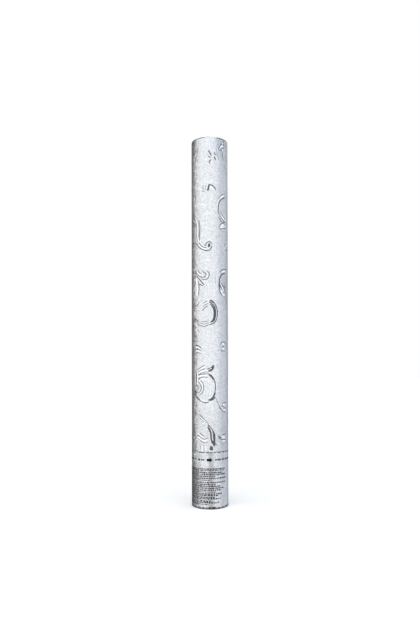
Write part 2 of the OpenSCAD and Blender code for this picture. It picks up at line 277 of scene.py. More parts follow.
def make_moulding(name, light, dark, r0, r1, metallic=0.0, coat=0.0, spec=0.5):
    mt = Mat(name, Metallic=metallic)
    mt.b.inputs["Coat Weight"].default_value = coat
    mt.b.inputs["Coat Roughness"].default_value = 0.12
    mt.b.inputs["Specular IOR Level"].default_value = spec
    big = mt.noise(11.0, 3.0, 0.55)
    fine = mt.noise(0.35, 2.0, 0.5)
    scuff = mt.noise(3.0, 4.0, 0.7, (1, 1, 0.35), 0.4)
    c = mt.ramp(big.outputs["Fac"], [(0.3, dark), (0.7, light)])
    mt.color(mt.mul(c, mt.ramp(scuff.outputs["Fac"], [(0.28, (0.93, 0.93, 0.93)), (0.45, (1.0, 1.0, 1.0))])))
    mt.rough(mt.remap(scuff.outputs["Fac"], r0, r1, 0.25, 0.75))
    n = mt.bump(fine.outputs["Fac"], 0.02, 0.6)
    mt.normal(mt.bump(big.outputs["Fac"], 0.12, 0.35, n))
    return mt.m


def make_metal(name, light, dark, r0, r1, stretch, size=0.4):
    mt = Mat(name, Metallic=1.0)
    brushed = mt.noise(size, 3.0, 0.6, stretch)
    patina = mt.noise(9.0, 4.0, 0.6)
    c = mt.ramp(brushed.outputs["Fac"], [(0.3, dark), (0.7, light)])
    mt.color(mt.mul(c, mt.ramp(patina.outputs["Fac"], [(0.3, (0.88, 0.88, 0.88)), (0.65, (1.0, 1.0, 1.0))])))
    mt.rough(mt.remap(brushed.outputs["Fac"], r0, r1, 0.25, 0.75))
    mt.normal(mt.bump(brushed.outputs["Fac"], 0.02, 0.5))
    return mt.m


def make_foam():
    mt = Mat("cut_foam", Roughness=0.95)
    cells = mt.voronoi(0.7)
    # darker in the cells' hollows, where the bump is lowest: painted shade in the pores
    c = mt.ramp(cells.outputs["Distance"], [(0.05, (0.035, 0.035, 0.04)), (0.6, (0.10, 0.10, 0.11))])
    mt.color(c)
    mt.normal(mt.bump(cells.outputs["Distance"], 0.35, 0.9))
    return mt.m


def make_rubber():
    mt = Mat("nitrile_rubber", Roughness=0.5)
    fine = mt.noise(0.3, 2.0, 0.5)
    mt.color(mt.ramp(fine.outputs["Fac"], [(0.3, (0.012, 0.012, 0.013)), (0.7, (0.03, 0.03, 0.032))]))
    mt.rough(mt.remap(fine.outputs["Fac"], 0.4, 0.6))
    mt.normal(mt.bump(fine.outputs["Fac"], 0.02, 0.5))
    return mt.m


def make_confetti():
    mt = Mat("confetti_foil", Metallic=0.78, Roughness=0.24)
    cloud = mt.noise(4.0, 3.0, 0.6)
    mt.color(mt.ramp(cloud.outputs["Fac"], [(0.3, (0.84, 0.845, 0.87)), (0.7, (0.95, 0.95, 0.965))]))
    mt.rough(mt.remap(cloud.outputs["Fac"], 0.16, 0.34))
    mt.normal(mt.bump(mt.noise(1.2, 2.0, 0.5).outputs["Fac"], 0.05, 0.6))
    return mt.m


MAT = {
    "wrap": make_wrap_paper(),
    "foil": make_foil_ink(),
    "key": make_keyline_ink(),
    "black": make_black_ink("black_arrow_ink", (0.004, 0.004, 0.004), (0.014, 0.014, 0.015)),
    "print_ink_and_painted_shade": make_black_ink("grey_print_ink_and_painted_shade", (0.014, 0.014, 0.016), (0.045, 0.045, 0.05)),
    "board": make_board("grey_kraft_board", (0.42, 0.385, 0.33), (0.27, 0.24, 0.195)),
    "disc_board": make_board("chip_board", (0.40, 0.37, 0.32), (0.24, 0.22, 0.18), False),
    "silver": make_moulding("silvered_plastic", (0.78, 0.79, 0.81), (0.70, 0.71, 0.73), 0.22, 0.36, 0.85, 0.3),
    "white": make_moulding("white_moulding", (0.80, 0.80, 0.78), (0.70, 0.70, 0.68), 0.42, 0.6),
    "dark": make_moulding("dark_moulding", (0.050, 0.050, 0.053), (0.030, 0.030, 0.032), 0.4, 0.6),
    "orange": make_moulding("orange_nylon", (0.86, 0.26, 0.035), (0.74, 0.19, 0.025), 0.35, 0.5),
    "alu": make_metal("drawn_aluminium", (0.91, 0.915, 0.92), (0.78, 0.785, 0.79), 0.22, 0.38, (6, 6, 0.12)),
    "brass": make_metal("turned_brass", (0.83, 0.64, 0.30), (0.66, 0.48, 0.20), 0.2, 0.36, (0.3, 0.3, 8)),
    "steel": make_metal("bright_steel", (0.72, 0.72, 0.73), (0.56, 0.56, 0.57), 0.18, 0.34, (2, 2, 2)),
    "foam": make_foam(),
    "rubber": make_rubber(),
    "confetti": make_confetti(),
}

NODE_MATS = {
    "barrel_tube": "board", "grip_tube": "board", "spacer_sleeve": "board", "wad_board": "disc_board",
    "barrel_wrap": "wrap", "grip_wrap": "wrap", "muzzle_plug": "silver",
    "pivot_ring": "white", "cam_collar": "white", "base_housing": "white", "base_cap": "dark",
    "pivot_tacks": "steel", "collar_tacks": "steel", "housing_tacks": "steel", "cross_pin": "steel",
    "confetti_upper": "confetti", "confetti_middle": "confetti", "confetti_lower": "confetti",
    "wad_foam": "foam", "air_cylinder": "alu", "release_head": "brass", "head_seal": "rubber",
    "release_plug": "orange", "plug_seals": "rubber", "fill_valve_body": "brass",
    "fill_valve_nut": "brass", "fill_valve_washer": "rubber", "fill_valve_ball": "steel",
    "fill_valve_spring": "steel", "fill_valve_retainer": "brass",
}
for n, o in NODES.items():
    o.data.materials.clear()
    o.data.materials.append(MAT[NODE_MATS[n]])


# ---------------------------------------------------------------- mesh helpers
def lerp(a, b, t):
    return a + (b - a) * t


def smoothstep(a, b, x):
    t = min(1.0, max(0.0, (x - a) / (b - a)))
    return t * t * (3 - 2 * t)


def bell(x, c, w):
    """1 at c, 0 beyond c +- w."""
    t = abs(x - c) / w
    return 0.0 if t >= 1 else (1 - t * t) ** 2


def wrap_s(s):
    """s folded into -CIRC/2 .. CIRC/2."""
    return (s + CIRC / 2) % CIRC - CIRC / 2


def at(s, r, z):
    a = s / R
    return Vector((r * math.sin(a), -r * math.cos(a), z)) * MM


def mesh_object(name, verts, faces, mat, body, smooth=True, mats=None, face_mats=None, sharp=None):
    me = bpy.data.meshes.new(name)
    me.from_pydata([tuple(v) for v in verts], [], faces)
    me.validate()
    me.update()
    for m in (mats or [mat]):
        me.materials.append(m)
    if face_mats:
        me.polygons.foreach_set("material_index", face_mats)
    me.polygons.foreach_set("use_smooth", [smooth] * len(me.polygons))
    if sharp:
        me.set_sharp_from_angle(angle=math.radians(sharp))
    ob = bpy.data.objects.new(name, me)
    scene.collection.objects.link(ob)
    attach(ob, body)
    return ob


# ---------------------------------------------------------------- the paper wraps
GRIP_LAP_EDGE = 0.5       # the free edge of the grip's wrap, at the front
BARREL_LAP_EDGE = 84.0    # the free edge of the barrel's wrap, at the back
LAP = 10.0


def paper_relief(s, z, grip):
    """Height of the paper's outer face over R, without the lap: soft waves of the pasted paper."""
    a = s / R
    p = Vector((math.sin(a) * 1.6, math.cos(a) * 1.6, z / 17.0))
    h = 0.022 * noise.noise(p)
    q = Vector((math.sin(a) * 5.0 + 7, math.cos(a) * 5.0, z / 30.0))
    h += 0.012 * noise.noise(q)
    edge = GRIP_LAP_EDGE if grip else BARREL_LAP_EDGE
    d = wrap_s(s - edge)
    if 0 <= d < 7.0:          # the outer layer ends and the one below rises again
        h += -0.055 * (1 - smoothstep(0.0, 7.0, d))
    elif -LAP - 4 < d < 0:    # the outer layer, its free edge lifted a little
        h += 0.03 * smoothstep(-LAP - 4, -LAP, d) + 0.07 * smoothstep(-1.3, -0.1, d)
    return h


def wrap_radius(s, z, grip):
    return R + paper_relief(s, z, grip)


def wrap_tone_and_painted_light(s, z, grip):
    """Tints and darker and lighter patches of the paper, as a factor on its colour; among them painted shade beside the
    grip's lap edge and at the barrel's top left edge, and a painted bluish-grey reflection at the barrel's top right.
    """
    t = 1.0
    r = g = b = 1.0
    if grip:
        # the first term is painted shade in a band beside the lap's free edge; the other two darken patches at the
        # sides
        t -= 0.30 * bell(s, 1.3, 6.0) + 0.03 * bell(s, 16.5, 4.5) + 0.17 * bell(s, -17.5, 8.0)
        t -= 0.10 * bell(s, -26.0, 13.0) * (1 - smoothstep(54.0, 58.0, z))
        t -= 0.07 + 0.05 * (1 - smoothstep(53.0, 57.0, z)) * (1 - smoothstep(18.0, 26.0, abs(s + 4)))
    else:
        t -= 0.11 * (1 - smoothstep(84.0, 165.0, z)) + 0.17 * bell(s, 23.5, 8.0) * bell(z, 292.0, 34.0)
        # the first term is painted shade at the top left edge; the second darkens the left edge low down
        t -= 0.46 * bell(s, -25.0, 8.0) * smoothstep(474.0, 492.0, z) + 0.10 * bell(s, -26.0, 10.0) * (1 - smoothstep(140.0, 175.0, z))
        t -= 0.10 * bell(s, -17.0, 7.0) * smoothstep(462.0, 474.0, z) + 0.08 * bell(s, 22.0, 9.0) * smoothstep(438.0, 466.0, z)
    if grip:
        t += 0.08 * bell(s, 14.5, 7.0) * (1 - smoothstep(57.0, 62.0, z))
    # painted bluish-grey reflection at the top right: darker, with less red and green there
    k = max(bell(s, 12.5, 8.0) * smoothstep(472.0, 482.0, z), 0.6 * bell(s, 18.0, 6.0) * bell(z, 477.0, 11.0))
    r -= 0.25 * k
    g -= 0.18 * k
    b -= 0.11 * k
    return (t * r, t * g, t * b)


def wrap_sheet(name, grip, cols, zs, z_lo, z_hi, body, node):
    """The paper as one closed thin sheet that laps over itself. zs are heights 0..1 between the two edges."""
    edge = GRIP_LAP_EDGE if grip else BARREL_LAP_EDGE
    start = edge - LAP
    total = CIRC + LAP
    thick = 0.07
    verts, tones_and_painted_light, rows = [], [], len(zs)
    for side in (0, 1):
        for i in range(cols + 1):
            t = total * i / cols
            s = start + t
            sw = wrap_s(s)
            under = t < LAP
            for j in range(rows):
                lo, hi = z_lo(sw), z_hi(sw)
                z = lerp(lo, hi, zs[j])
                r = wrap_radius(sw, z, grip)
                if under:       # this end lies under the other one
                    r = R - 0.055 + 0.0 * t
                elif t >= LAP and t < LAP + 0.001:
                    r = R - 0.055
                elif t > CIRC:
                    r = max(r, R + 0.02)
                if not grip and z > TUBE_TOP - 0.55:   # turned over the muzzle's rim
                    k = (z - (TUBE_TOP - 0.55)) / 0.55
                    r -= 0.42 * (1 - math.sqrt(max(0.0, 1 - k * k)))
                if side:
                    r -= thick
                verts.append(at(s, r, z))
                tones_and_painted_light.append(wrap_tone_and_painted_light(sw, z, grip))
    faces = []
    n = (cols + 1) * rows

    def v(side, i, j):
        return side * n + i * rows + j
    for i in range(cols):
        for j in range(rows - 1):
            faces.append((v(0, i, j), v(0, i + 1, j), v(0, i + 1, j + 1), v(0, i, j + 1)))
            faces.append((v(1, i, j), v(1, i, j + 1), v(1, i + 1, j + 1), v(1, i + 1, j)))
        faces.append((v(0, i, 0), v(1, i, 0), v(1, i + 1, 0), v(0, i + 1, 0)))
        faces.append((v(0, i, rows - 1), v(0, i + 1, rows - 1), v(1, i + 1, rows - 1), v(1, i, rows - 1)))
    for j in range(rows - 1):
        faces.append((v(0, 0, j), v(0, 0, j + 1), v(1, 0, j + 1), v(1, 0, j)))
        faces.append((v(0, cols, j), v(1, cols, j), v(1, cols, j + 1), v(0, cols, j + 1)))
    ob = mesh_object(name, verts, faces, MAT["wrap"], body, sharp=50)
    # the per-point colour factor, painted shade and a painted reflection included
    col = ob.data.color_attributes.new("tone_and_painted_light", "FLOAT_COLOR", "POINT")
    col.data.foreach_set("color", [c for t in tones_and_painted_light for c in (*t, 1.0)])
    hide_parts(node)
    return ob


def rag(s, seed, amp):
    """A cut edge that is not quite straight."""
    a = s / R
    return amp * (noise.noise(Vector((math.sin(a) * 9 + seed, math.cos(a) * 9, seed * 3.1)))
                  + 0.6 * noise.noise(Vector((math.sin(a) * 30 + seed, math.cos(a) * 30, seed))))


def barrel_lo(s):
    return SEAM_HI + max(0.0, rag(s, 2.0, 0.18)) + 0.35 * bell(s, -22.0, 1.8)


def barrel_hi(s):
    return TUBE_TOP - max(0.0, rag(s, 5.0, 0.12)) - 0.3 * bell(s, -3.0, 2.2) - 0.3 * bell(s, 24.0, 3.0)


def grip_lo(s):
    return 1.4 + max(0.0, rag(s, 8.0, 0.12)) + 1.7 * bell(s, 4.2, 3.2) + 0.5 * bell(s, -9.0, 1.6)


def grip_hi(s):
    return (SEAM_LO - max(0.0, rag(s, 11.0, 0.22)) - 1.0 * bell(s, 14.0, 1.3) - 1.2 * bell(s, 20.0, 1.6)
            - 0.5 * bell(s, -12.0, 1.5) - 0.5 * bell(s, 50.0, 2.0) - 0.5 * bell(s, -60.0, 2.0))


def spaced(n, ends):
    """0..1 in n steps with extra rows close to both edges (ends: fractions of the length)."""
    inner = [ends[-1] + (1 - 2 * ends[-1]) * i / n for i in range(n + 1)]
    return list(ends[:-1]) + inner + [1 - e for e in reversed(ends[:-1])]


H_BARREL = TUBE_TOP - SEAM_HI
H_GRIP = SEAM_LO - 1.4
wrap_sheet("barrel_foil_paper", False, 240, spaced(126, [0.0, 0.12 / H_BARREL, 0.3 / H_BARREL, 0.55 / H_BARREL, 1.2 / H_BARREL, 2.5 / H_BARREL]),
           barrel_lo, barrel_hi, "barrel", "barrel_wrap")
wrap_sheet("grip_foil_paper", True, 320, spaced(30, [0.0, 0.5 / H_GRIP, 1.2 / H_GRIP, 2.2 / H_GRIP]),
           grip_lo, grip_hi, "grip", "grip_wrap")


# ---------------------------------------------------------------- raised strokes
def spline(pts, step):
    """Catmull-Rom through pts, sampled every step mm."""
    if len(pts) == 2:
        (x0, y0), (x1, y1) = pts
        n = max(3, int(math.hypot(x1 - x0, y1 - y0) / step))
        return [(lerp(x0, x1, i / n), lerp(y0, y1, i / n)) for i in range(n + 1)]
    p = [(2 * pts[0][0] - pts[1][0], 2 * pts[0][1] - pts[1][1])] + list(pts) + \
        [(2 * pts[-1][0] - pts[-2][0], 2 * pts[-1][1] - pts[-2][1])]
    out = []
    for k in range(1, len(p) - 2):
        a, b, c, d = p[k - 1], p[k], p[k + 1], p[k + 2]
        n = max(2, int(math.hypot(c[0] - b[0], c[1] - b[1]) / step))
        for i in range(n):
            t = i / n
            out.append(tuple(0.5 * (2 * b[q] + (c[q] - a[q]) * t + (2 * a[q] - 5 * b[q] + 4 * c[q] - d[q]) * t * t
                                    + (3 * b[q] - a[q] - 3 * c[q] + d[q]) * t ** 3) for q in (0, 1)))
    out.append(tuple(pts[-1]))
    return out


class Strokes:
    """Collects raised ribbons on the wrap into one mesh."""

    FOIL = ((-1.0, -0.6), (-0.93, 0.5), (-0.78, 0.93), (-0.4, 1.0), (0.4, 1.0), (0.78, 0.93), (0.93, 0.5), (1.0, -0.6))
    FLAT = ((-1.0, -1.0), (-0.93, 0.9), (-0.4, 1.0), (0.4, 1.0), (0.93, 0.9), (1.0, -1.0))

    def __init__(self, grip):
        self.v, self.f, self.m, self.grip, self.count = [], [], [], grip, 0

    def add(self, pts, width, height, profile, mat=0, taper=(1.0, 1.0), widths=None, step=0.7, margin=None):
        path = spline(pts, step)
        cum = [0.0]
        for a, b in zip(path, path[1:]):
            cum.append(cum[-1] + math.hypot(b[0] - a[0], b[1] - a[1]))
        total = cum[-1]
        if total < 0.2:
            return
        h = height * (1 + 0.06 * math.sin(self.count * 2.399))
        self.count += 1
        base, m = len(self.v), len(profile)
        for k, (s, z) in enumerate(path):
            a, b = path[max(0, k - 1)], path[min(len(path) - 1, k + 1)]
            tx, tz = b[0] - a[0], b[1] - a[1]
            L = math.hypot(tx, tz) or 1.0
            nx, nz = -tz / L, tx / L
            d0, d1 = cum[k], total - cum[k]
            w = width / 2
            if widths:
                w *= widths(cum[k] / total)
            if margin:
                w += margin(s) / 2
            for d, t in ((d0, taper[0]), (d1, taper[1])):
                if t > 0:
                    w *= math.sqrt(min(1.0, max(0.0, d / t))) if d < t else 1.0
            w = max(w, 0.03)
            for u, g in profile:
                ss, zz = s - nx * u * w, z - nz * u * w
                hh = h * g * min(1.0, w / 0.25) if g > 0 else g * 0.06
                self.v.append(at(ss, wrap_radius(wrap_s(ss), zz, self.grip) + hh, zz))
        for k in range(len(path) - 1):
            for j in range(m):
                j2 = (j + 1) % m
                self.f.append((base + k * m + j, base + k * m + j2, base + (k + 1) * m + j2, base + (k + 1) * m + j))
                self.m.append(mat)
        self.f.append(tuple(base + j for j in reversed(range(m))))
        self.m.append(mat)
        e = base + (len(path) - 1) * m
        self.f.append(tuple(e + j for j in range(m)))
        self.m.append(mat)

    def object(self, name, mats, body, slot, sharp=60):
        ob = mesh_object(name, self.v, self.f, None, body, mats=mats, face_mats=self.m, sharp=sharp)
        return ob


FOIL_H = 0.10
KEY_H = 0.035


def key_margin(s):
    """How much wider the grey keyline is than its foil: broad on the left, narrow where the strokes lie close."""
    s = wrap_s(s)
    if abs(s) > 36:
        return 1.0
    return lerp(1.5, lerp(0.5, 1.1, smoothstep(9.5, 13.0, s)), smoothstep(-4.5, -0.5, s))


def foil(key, top, pts, w, taper=(1.6, 1.6), widths=None):
    """A foil stroke on its keyline."""
    key.add(pts, w, KEY_H, Strokes.FLAT, 0, (taper[0] * 0.9, taper[1] * 0.9), widths, margin=key_margin)
    top.add(pts, w, FOIL_H, Strokes.FOIL, 0, taper, widths)


def line(key, pts, w=0.8, taper=(2.0, 2.0)):
    """A thin grey line."""
    if w >= 2.0:
        taper = (w * 0.7, w * 0.7)
    key.add(pts, w, KEY_H * 1.3, Strokes.FLAT, 0, taper, None, 0.3 if w >= 1.5 else 0.6)


def dot(key, top, s, z, r):
    foil(key, top, [(s - r, z - 0.2 * r), (s, z), (s + r, z + 0.2 * r)], 2 * r, (r, r))


def leafw(t):
    """Width along a leaf: narrow, full, pointed."""
    return 0.25 + 0.75 * math.sin(math.pi * min(1.0, t * 1.05) ** 0.8) if t < 0.95 else 0.3


# Front: the flourishes follow the photograph. (kind, width, points): f = foil on a keyline, w = foil alone, l = keyline ink alone.
FRONT = [
    # muzzle edge: dark lines of painted shade along the rounded rim
    ("l", 0.8, [(-31, 496.8), (-27, 497.6), (-22, 498)]),
    ("l", 0.8, [(-22, 498.1), (-14, 498.5), (-6.5, 498.4)]),
    ("l", 1.0, [(9, 498.3), (17, 497.9), (24, 498.2), (31, 497.6)]),
    # leaf at the upper right
    ("l", 1.2, [(12.4, 481.6), (14, 486), (17, 490.4), (20, 494), (22.4, 497.2)]),
    ("l", 0.7, [(14.6, 482.6), (17.8, 485.8), (21.0, 490.8), (22.4, 495)]),
    ("w", 1.5, [(14.2, 483), (16.4, 487), (19, 490.4)]),
    ("w", 2.2, [(19, 491.6), (20.2, 493.2), (21.6, 494)]),
    ("w", 2.2, [(18.8, 488.0), (20.2, 489), (21.8, 489.4)]),
    ("w", 2.2, [(18.8, 483.2), (20.2, 484.2), (21.6, 484.6)]),
    ("l", 0.8, [(22.6, 495.6), (22.4, 489.6), (19.4, 484.4), (14.4, 481.4)]),
    ("l", 0.8, [(19.2, 480.6), (19.8, 475), (21.6, 469.4)]),
    ("l", 0.7, [(9.8, 483.4), (10.8, 477.6), (11.8, 472.8), (14, 469.4)]),
    ("w", 1.3, [(11.2, 483), (12.1, 477), (13.2, 472.6), (15.2, 469.6)]),
    ("w", 2.0, [(26, 461.5), (27, 462.4), (28.6, 462.6)]),
    ("l", 0.9, [(24.6, 464.6), (25.2, 461), (27.6, 459.4)]),
    ("f", 1.0, [(24, 496), (27, 491), (28, 485)]),
    ("f", 1.0, [(24, 479), (27, 474), (27.5, 468)]),
    ("l", 0.7, [(-24, 489), (-25.6, 482), (-24.4, 474)]),
    ("l", 0.6, [(-17, 487), (-18.4, 478), (-20.6, 470), (-23, 466)]),
    # sprig
    ("l", 1.9, [(-1.8, 481), (0.5, 477.5), (2.7, 473.3)]),
    ("l", 1.3, [(-2.4, 473), (0, 471.6), (2.6, 470.8)]),
    ("l", 1.6, [(2.4, 468.6), (0.4, 466), (-0.2, 462.6)]),
    ("l", 1.5, [(6.1, 479), (7.2, 476.6), (8.8, 474.6)]),
    ("l", 1.7, [(6.2, 473.0), (7.4, 470.4), (8.6, 467.4)]),
    # comma leaf
    ("l", 2.4, [(-0.8, 434.8), (-1.3, 430.5), (-2.6, 425.6)]),
    ("l", 1.6, [(-1, 434.4), (3, 433.4), (6, 431), (8.8, 427.2)]),
    ("w", 1.5, [(0.8, 431), (4, 429.6), (6.4, 427.2), (8.9, 422.8)]),
    ("l", 0.9, [(-7.4, 434.6), (-9.4, 430.8), (-7.2, 427.2)]),
    ("l", 0.8, [(-10.4, 427.4), (-8.4, 425.2), (-6, 424.8)]),
    ("l", 0.7, [(-4.4, 434), (-5.4, 430.4), (-4.6, 427)]),
    # C curve and fan at the right
    ("l", 1.35, [(25, 420.6), (20, 417.6), (16, 414.4), (13.6, 410.6), (12.6, 405), (11.9, 399.6), (12.9, 395.2)]),
    ("w", 1.7, [(23.4, 422.6), (18.6, 420), (14.4, 416), (12.1, 411), (11, 405), (10.4, 399.6)]),
    ("l", 0.8, [(24.4, 424.6), (19.8, 422.8), (15.2, 419.4), (12.2, 415)]),
    ("l", 1.0, [(12.6, 396.4), (16.6, 391.4), (21.4, 387.4), (26, 385)]),
    ("w", 1.9, [(13.6, 397.4), (18.2, 392.4), (23.4, 388.6)]),
    ("l", 1.0, [(13.8, 398.8), (18.8, 394), (24.4, 390.8), (30, 390.6)]),
    ("l", 0.9, [(12.4, 391.6), (16, 387), (20, 383.6), (25, 381.8)]),
    ("w", 3.4, [(26.2, 399.6), (26.6, 393), (26.2, 387)]),
    ("l", 1.1, [(12.6, 376.4), (16, 381.4), (20.6, 384.6), (26, 386)]),
    ("w", 1.8, [(14, 376.6), (18, 380.4), (23, 382.8)]),
    ("l", 1.1, [(12.6, 374.8), (17, 375.6), (22, 377.4), (27, 377.4)]),
    ("w", 1.6, [(15, 376.6), (20, 378.6), (25, 379.6)]),
    ("w", 2.2, [(26, 379.6), (27.4, 380.4), (28.8, 380)]),
    # S scroll at the left
    ("f", 2.4, [(-27, 393), (-24, 391), (-20.4, 388), (-18.4, 383), (-17.4, 375), (-17.4, 366), (-16, 357.6)]),
    ("l", 1.3, [(-16, 387.6), (-14.2, 380), (-14, 371), (-15, 363.5), (-13.2, 357), (-9.4, 353), (-5.6, 351.8)]),
    ("w", 1.5, [(-13.4, 361), (-13.8, 357.8), (-11, 353.8), (-7, 350.8)]),
    ("l", 1.0, [(-15.4, 356.6), (-12, 352.6), (-8, 349.8), (-3.6, 348.8)]),
    ("w", 1.4, [(-17.4, 355.6), (-13.4, 350.8), (-8.4, 347.8), (-3.8, 347.2)]),
    ("l", 1.3, [(-20, 356.8), (-15.4, 350.6), (-10, 347), (-5, 345), (-0.8, 345.4), (2.2, 348.6), (2.4, 352.4)]),
    ("l", 1.2, [(-6, 351.4), (-4.6, 354.8), (-1.6, 356.8), (1.6, 356), (3, 353.4)]),
    ("l", 3.4, [(-2.2, 349.6), (-0.9, 351.6), (-0.7, 355)]),
    ("w", 0.7, [(-2.9, 351.4), (-2.4, 353.6)]),
    ("l", 1.0, [(-31, 389), (-26, 385), (-21.4, 382)]),
    ("l", 0.9, [(-27, 395.6), (-24, 395), (-21, 392.4)]),
    ("l", 0.9, [(-30, 361), (-27.6, 359.4), (-26, 359)]),
    ("l", 0.9, [(-29, 358), (-25, 357), (-21, 357.4)]),
    # small leaf at the right
    ("w", 1.9, [(24, 349), (26, 353), (29, 356.6)]),
    ("w", 1.6, [(26.8, 360), (29.4, 357.6), (31.6, 354)]),
    ("l", 0.9, [(23, 350.6), (24.6, 355), (28, 359)]),
    ("l", 0.9, [(25, 347), (28, 348.2), (32, 348.8)]),
    # scroll with spurs at the left
    ("l", 1.1, [(-23, 320.6), (-19.6, 316.2), (-15.4, 311.6), (-10, 309.6), (-5.4, 309.8)]),
    ("w", 1.4, [(-20, 318.4), (-16, 313.8), (-10.6, 311.4)]),
    ("l", 1.0, [(-18, 320.6), (-14.6, 316.2), (-11, 313.6)]),
    ("l", 1.2, [(-11.6, 319.2), (-8.6, 316.2), (-6, 314.8), (-5, 312), (-8.4, 308.6)]),
    ("l", 1.1, [(-3.6, 318.2), (-1, 314.6), (-1, 310.6), (-3.4, 307.2), (-6.6, 305.8)]),
    ("w", 1.2, [(-3.4, 315.4), (-2.6, 312), (-4.4, 308.6)]),
    ("l", 1.5, [(-19.6, 312.4), (-14, 306.4), (-10, 302), (-7.6, 299.2)]),
    ("w", 1.3, [(-16.4, 311), (-11.4, 306), (-7.4, 302.2)]),
    ("l", 1.2, [(-14.6, 309.6), (-10.2, 306.6), (-5.6, 306)]),
    ("l", 1.2, [(-15.6, 301), (-12, 299.2), (-8.2, 297.6)]),
    ("w", 2.8, [(-20.6, 309), (-19.2, 301), (-18.6, 293), (-19.6, 284.5)]),
    ("l", 1.2, [(-16.8, 305), (-16, 301), (-15.2, 294), (-16.6, 285)]),
    ("w", 2.2, [(-23.6, 298), (-22.2, 295.4), (-23, 292.6), (-21.8, 289.4), (-23.2, 286)]),
    ("f", 1.0, [(-5, 298.6), (-3.2, 297.4)]),
    # C ring at the right
    ("l", 1.1, [(29, 321.6), (23, 321.2), (18, 319.8), (13.6, 316)]),
    ("w", 1.5, [(27, 319), (22, 318.8), (17.2, 316.8)]),
    ("l", 1.9, [(25, 316), (18.8, 314.4), (15.2, 310.4), (13.8, 305), (13.4, 297.6), (14.8, 290.6)]),
    ("w", 1.5, [(12.4, 317.6), (9.8, 312), (8.8, 305.4), (9.2, 299)]),
    ("l", 0.4, [(10.8, 317), (8.4, 312), (7.4, 305), (8.0, 299.4)]),
    ("l", 1.6, [(13.6, 300.6), (16.6, 296.4), (19.8, 291.4)]),
    ("w", 1.8, [(15.2, 301.4), (18.4, 297), (21.4, 292.4)]),
    ("l", 1.7, [(16.6, 302), (20.2, 297.4), (24, 291.4)]),
    ("w", 1.8, [(14.2, 294.6), (17, 290.8), (19.4, 287)]),
    ("l", 1.5, [(13.8, 291.2), (16.2, 288), (18.4, 285)]),
    ("l", 1.0, [(21.4, 299.6), (24, 297), (27, 296)]),
    ("w", 1.5, [(17, 296.6), (21, 295.8)]),
    ("w", 1.5, [(17, 292.2), (21, 291.4)]),
    ("w", 1.8, [(18.4, 287), (21.4, 286.4), (25, 286.4)]),
    # hook at the left
    ("l", 1.1, [(-27, 270.6), (-22, 271.6), (-17.6, 273.4), (-14.6, 276.6)]),
    ("w", 1.4, [(-24, 273.6), (-20, 274), (-16.8, 276.4)]),
    # upper ring
    ("l", 2.1, [(-1.0, 276.2), (3, 274.2), (6.2, 270), (7.4, 265), (7.7, 260), (7.2, 255.6), (5.6, 251.6), (2.6, 248.8)]),
    ("l", 1.9, [(0.2, 273.2), (3.0, 271), (5.1, 267), (5.9, 262.6), (5.9, 258), (5.1, 254), (3.4, 250.8), (0.6, 248.4)]),
    ("w", 0.5, [(8.8, 268.4), (9.2, 263), (9.1, 258), (8.2, 253.4)]),
    ("l", 1.5, [(0.4, 278.8), (4.0, 276.8), (7.6, 272.4), (9.8, 267)]),
    ("w", 0.45, [(1.4, 276.4), (4.6, 273.6), (6.6, 270)]),
    ("l", 1.4, [(-0.8, 278.6), (3.8, 276.8), (8, 272), (10.1, 265.6), (10.4, 260), (9.7, 254.6), (7.7, 250.2), (4.2, 247), (-1, 245.6)]),
    ("l", 1.5, [(-0.4, 278.2), (3, 276.8), (6.2, 274)]),
    ("l", 0.9, [(-2.8, 277.4), (-6.4, 276), (-9.8, 273.4)]),
    ("l", 0.9, [(-1.8, 274.4), (-5.8, 272.6), (-9.6, 269.4)]),
    ("l", 0.9, [(-1.6, 271.4), (-6.4, 268.6), (-10.6, 264)]),
    ("w", 1.3, [(-2.4, 275.8), (-6.2, 274.2), (-9.6, 271.4)]),
    ("l", 1.1, [(-1, 245.4), (-7, 243.6), (-13, 244.8), (-18, 248), (-21, 251.4)]),
    ("l", 0.9, [(-1, 247.8), (-7, 246.4), (-12, 247.2), (-16, 249.4)]),
    ("l", 0.8, [(-2, 250.6), (-8, 249.4), (-13, 250.2)]),
    ("w", 1.3, [(-1.4, 246.6), (-7, 245), (-12.6, 246), (-17, 248.8)]),
    ("l", 1.4, [(-25, 254.6), (-20.4, 253), (-16.4, 250)]),
    ("f", 1.3, [(-27.4, 245.8), (-24.6, 243.4)]),
    ("w", 1.6, [(-21, 251), (-20, 247), (-20.6, 243)]),
    ("w", 1.5, [(-22.4, 240.4), (-20, 238.6), (-17.6, 236)]),
    ("l", 0.9, [(-19, 240.4), (-17, 238.4), (-15, 235.4)]),
    # small curl at the right, small fan at the left
    ("l", 1.0, [(15, 218.6), (18.4, 222.4), (23, 222.4), (27.6, 219.6)]),
    ("w", 1.9, [(17.4, 218.6), (20.2, 220.2), (23, 218.8)]),
    ("l", 1.3, [(17.2, 215.4), (20, 217), (22.4, 215.4)]),
    ("w", 1.9, [(17.4, 213.6), (20.2, 213.4), (22.6, 213.6)]),
    ("l", 1.0, [(15.4, 212.8), (18.6, 210.4), (24.4, 211)]),
    ("l", 1.2, [(-26, 217), (-21, 218), (-16, 217), (-11.4, 213.6)]),
    ("w", 1.6, [(-23, 215.6), (-18, 215.6), (-13, 212.8)]),
    ("l", 1.1, [(-23.6, 212.4), (-17, 213), (-12, 210.4)]),
    ("w", 1.6, [(-22, 210.4), (-17, 210.8), (-12.6, 208.6)]),
    ("l", 1.0, [(-21, 207.4), (-16, 208), (-12, 206.6)]),
    ("l", 1.0, [(-19.6, 220), (-18.4, 214), (-19.4, 206)]),
    # flame leaf
    ("l", 2.2, [(-3.6, 186.4), (1.4, 187.4), (5.4, 191.8)]),
    ("w", 0.8, [(-2.6, 185.8), (0.6, 186.4), (3, 188)]),
    ("l", 2.6, [(-2.6, 183.4), (2.6, 185.4), (5.4, 190)]),
